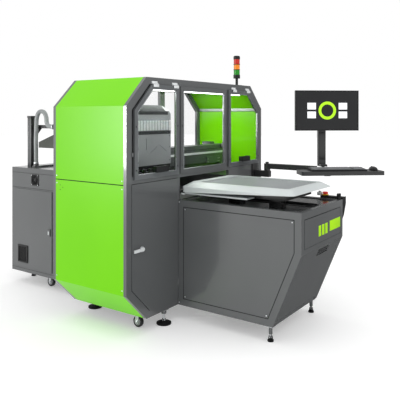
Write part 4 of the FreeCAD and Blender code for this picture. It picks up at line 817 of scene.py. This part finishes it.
outline = [(SCREEN_X + i * HALF_W, SCREEN_Z + j * HALF_H)
           for i, j in ((-1, -1), (1, -1), (1, 1), (-1, 1), (-1, -1))]
bezel = edging(outline, BEZEL, face_y - 2.5, face_y - 0.1)
keep("screen_bezel", "monitor", moulded, to_console(bezel))
panel, panel_shader = surface("screen_glass", "#191A1C", 0.18, Specular_IOR_Level=0.3)
mottle(panel, panel_shader, ("#161718", "#202123"), 0.5, (0.12, 0.2), 0.02, 0.005)
keep("screen_panel", "monitor", panel,
     to_console([block((SCREEN_X - HALF_W + BEZEL, face_y - 1.6, SCREEN_Z - HALF_H + BEZEL),
                       (SCREEN_X + HALF_W - BEZEL, face_y - 0.2, SCREEN_Z + HALF_H - BEZEL), 0.2)]))
white_mark, white_mark_shader = surface("screen_white", "#E6E8EA", 0.3, Emission_Strength=0.5)
white_mark_shader.inputs["Emission Color"].default_value = linear("#E6E8EA")
mottle(white_mark, white_mark_shader, ("#E2E4E6", "#ECEEF0"), 0.1, (0.25, 0.35), 0.01, 0.005)
lime_mark, lime_mark_shader = surface("screen_lime", "#A8E000", 0.3, Emission_Strength=0.4)
lime_mark_shader.inputs["Emission Color"].default_value = linear("#A8E000")
mottle(lime_mark, lime_mark_shader, ("#A2DA00", "#AEE60A"), 0.1, (0.25, 0.35), 0.01, 0.005)


def flat_ring(middle_x, radius, wide, sides):
    """A flat ring on the screen, drawn from a disc by an inset."""
    bpy.ops.mesh.primitive_circle_add(vertices=sides, radius=radius * MM, fill_type="NGON",
                                      location=at((middle_x, face_y - 2.2, SCREEN_Z)),
                                      rotation=(math.radians(90), 0, 0))
    bpy.ops.object.transform_apply(location=True, rotation=True, scale=True)
    bpy.ops.object.mode_set(mode="EDIT")
    bpy.ops.mesh.select_all(action="SELECT")
    hollow(wide, (0, 0.5, 0))
    return shape_up(0)


keep("screen_ring", "monitor", lime_mark, to_console([flat_ring(SCREEN_X, 70, 22, 64)]))
keep("screen_tiles", "monitor", white_mark,
     to_console([block((SCREEN_X + s * 125 - 34, face_y - 2.2, SCREEN_Z + z - 26),
                       (SCREEN_X + s * 125 + 34, face_y - 1.7, SCREEN_Z + z + 26), 0.2)
                 for s in (-1, 1) for z in (-34, 34)]))
keep("column_cover", "console", dark_coat,
     to_console([block((-22, 27.5, 1060), (22, 29.9, 1280), 0.8)]))

# ---- Studio -----------------------------------------------------------------------------------
# A plain white floor and soft boxes: one above, one in front, one inside the chamber and one
# behind on the left that the lime flank mirrors.  Two grey cards, seen in reflections only,
# darken what the table's front and slope mirror.
bpy.ops.mesh.primitive_plane_add(size=60, location=(0, 0, 0))
floor = bpy.context.active_object
floor.name = "floor"
floor_paint, floor_shader = surface("studio_floor", "#E8E8E8", 0.8, Specular_IOR_Level=0.1,
                                    Emission_Strength=0.3)
floor_shader.inputs["Emission Color"].default_value = linear("#FFFFFF")
floor.data.materials.append(floor_paint)
for place, size, turn, glow in (((4.6, -2.0, 1.2), (2.6, 7.0), (0, math.radians(90), 0), 0.3),
                                ((2.1, -2.275, 0.004), (5.0, 3.85), (0, 0, 0), 0.12)):
    bpy.ops.mesh.primitive_plane_add(size=1, location=place, rotation=turn)
    card = bpy.context.active_object
    card.name = "card"
    card.scale = (size[0], size[1], 1)
    bpy.ops.object.transform_apply(location=True, rotation=True, scale=True)
    card.visible_camera = card.visible_diffuse = card.visible_shadow = False
    card.visible_transmission = False
    grey_card, card_shader = surface("grey_card", "#000000", 0.9, Specular_IOR_Level=0.0,
                                     Emission_Strength=glow)
    card_shader.inputs["Emission Color"].default_value = linear("#FFFFFF")
    card.data.materials.append(grey_card)
world = bpy.data.worlds.new("studio")
bpy.context.scene.world = world
world.use_nodes = True
world.node_tree.nodes["Background"].inputs["Color"].default_value = (1, 1, 1, 1)
world.node_tree.nodes["Background"].inputs["Strength"].default_value = 1.0
bpy.context.scene.view_settings.view_transform = "Standard"


def softbox(name, place, aim, size, power):
    """A rectangular lamp at a place in the frame, facing an aim."""
    data = bpy.data.lights.new(name, "AREA")
    data.shape = "RECTANGLE"
    data.size, data.size_y = size
    data.energy = power
    lamp = bpy.data.objects.new(name, data)
    bpy.context.collection.objects.link(lamp)
    lamp.location = place
    lamp.rotation_euler = (Vector(aim) - Vector(place)).to_track_quat("-Z", "Y").to_euler()
    return lamp


softbox("overhead", (-0.5, -0.5, 4.5), (0, 0, 0), (4.5, 4.5), 35)
softbox("front", (1.5, -5.5, 2.8), (0.2, 0, 0.8), (3.5, 2.5), 2)
softbox("chamber", at((860, 320, 1600)), at((860, 320, 0)), (1.3, 0.35), 9)
mirror_light = softbox("left_rear", (-5.6, 3.6, 1.5), (-0.9, 0, 1.3), (0.9, 2.0), 230)
mirror_light.visible_diffuse = False
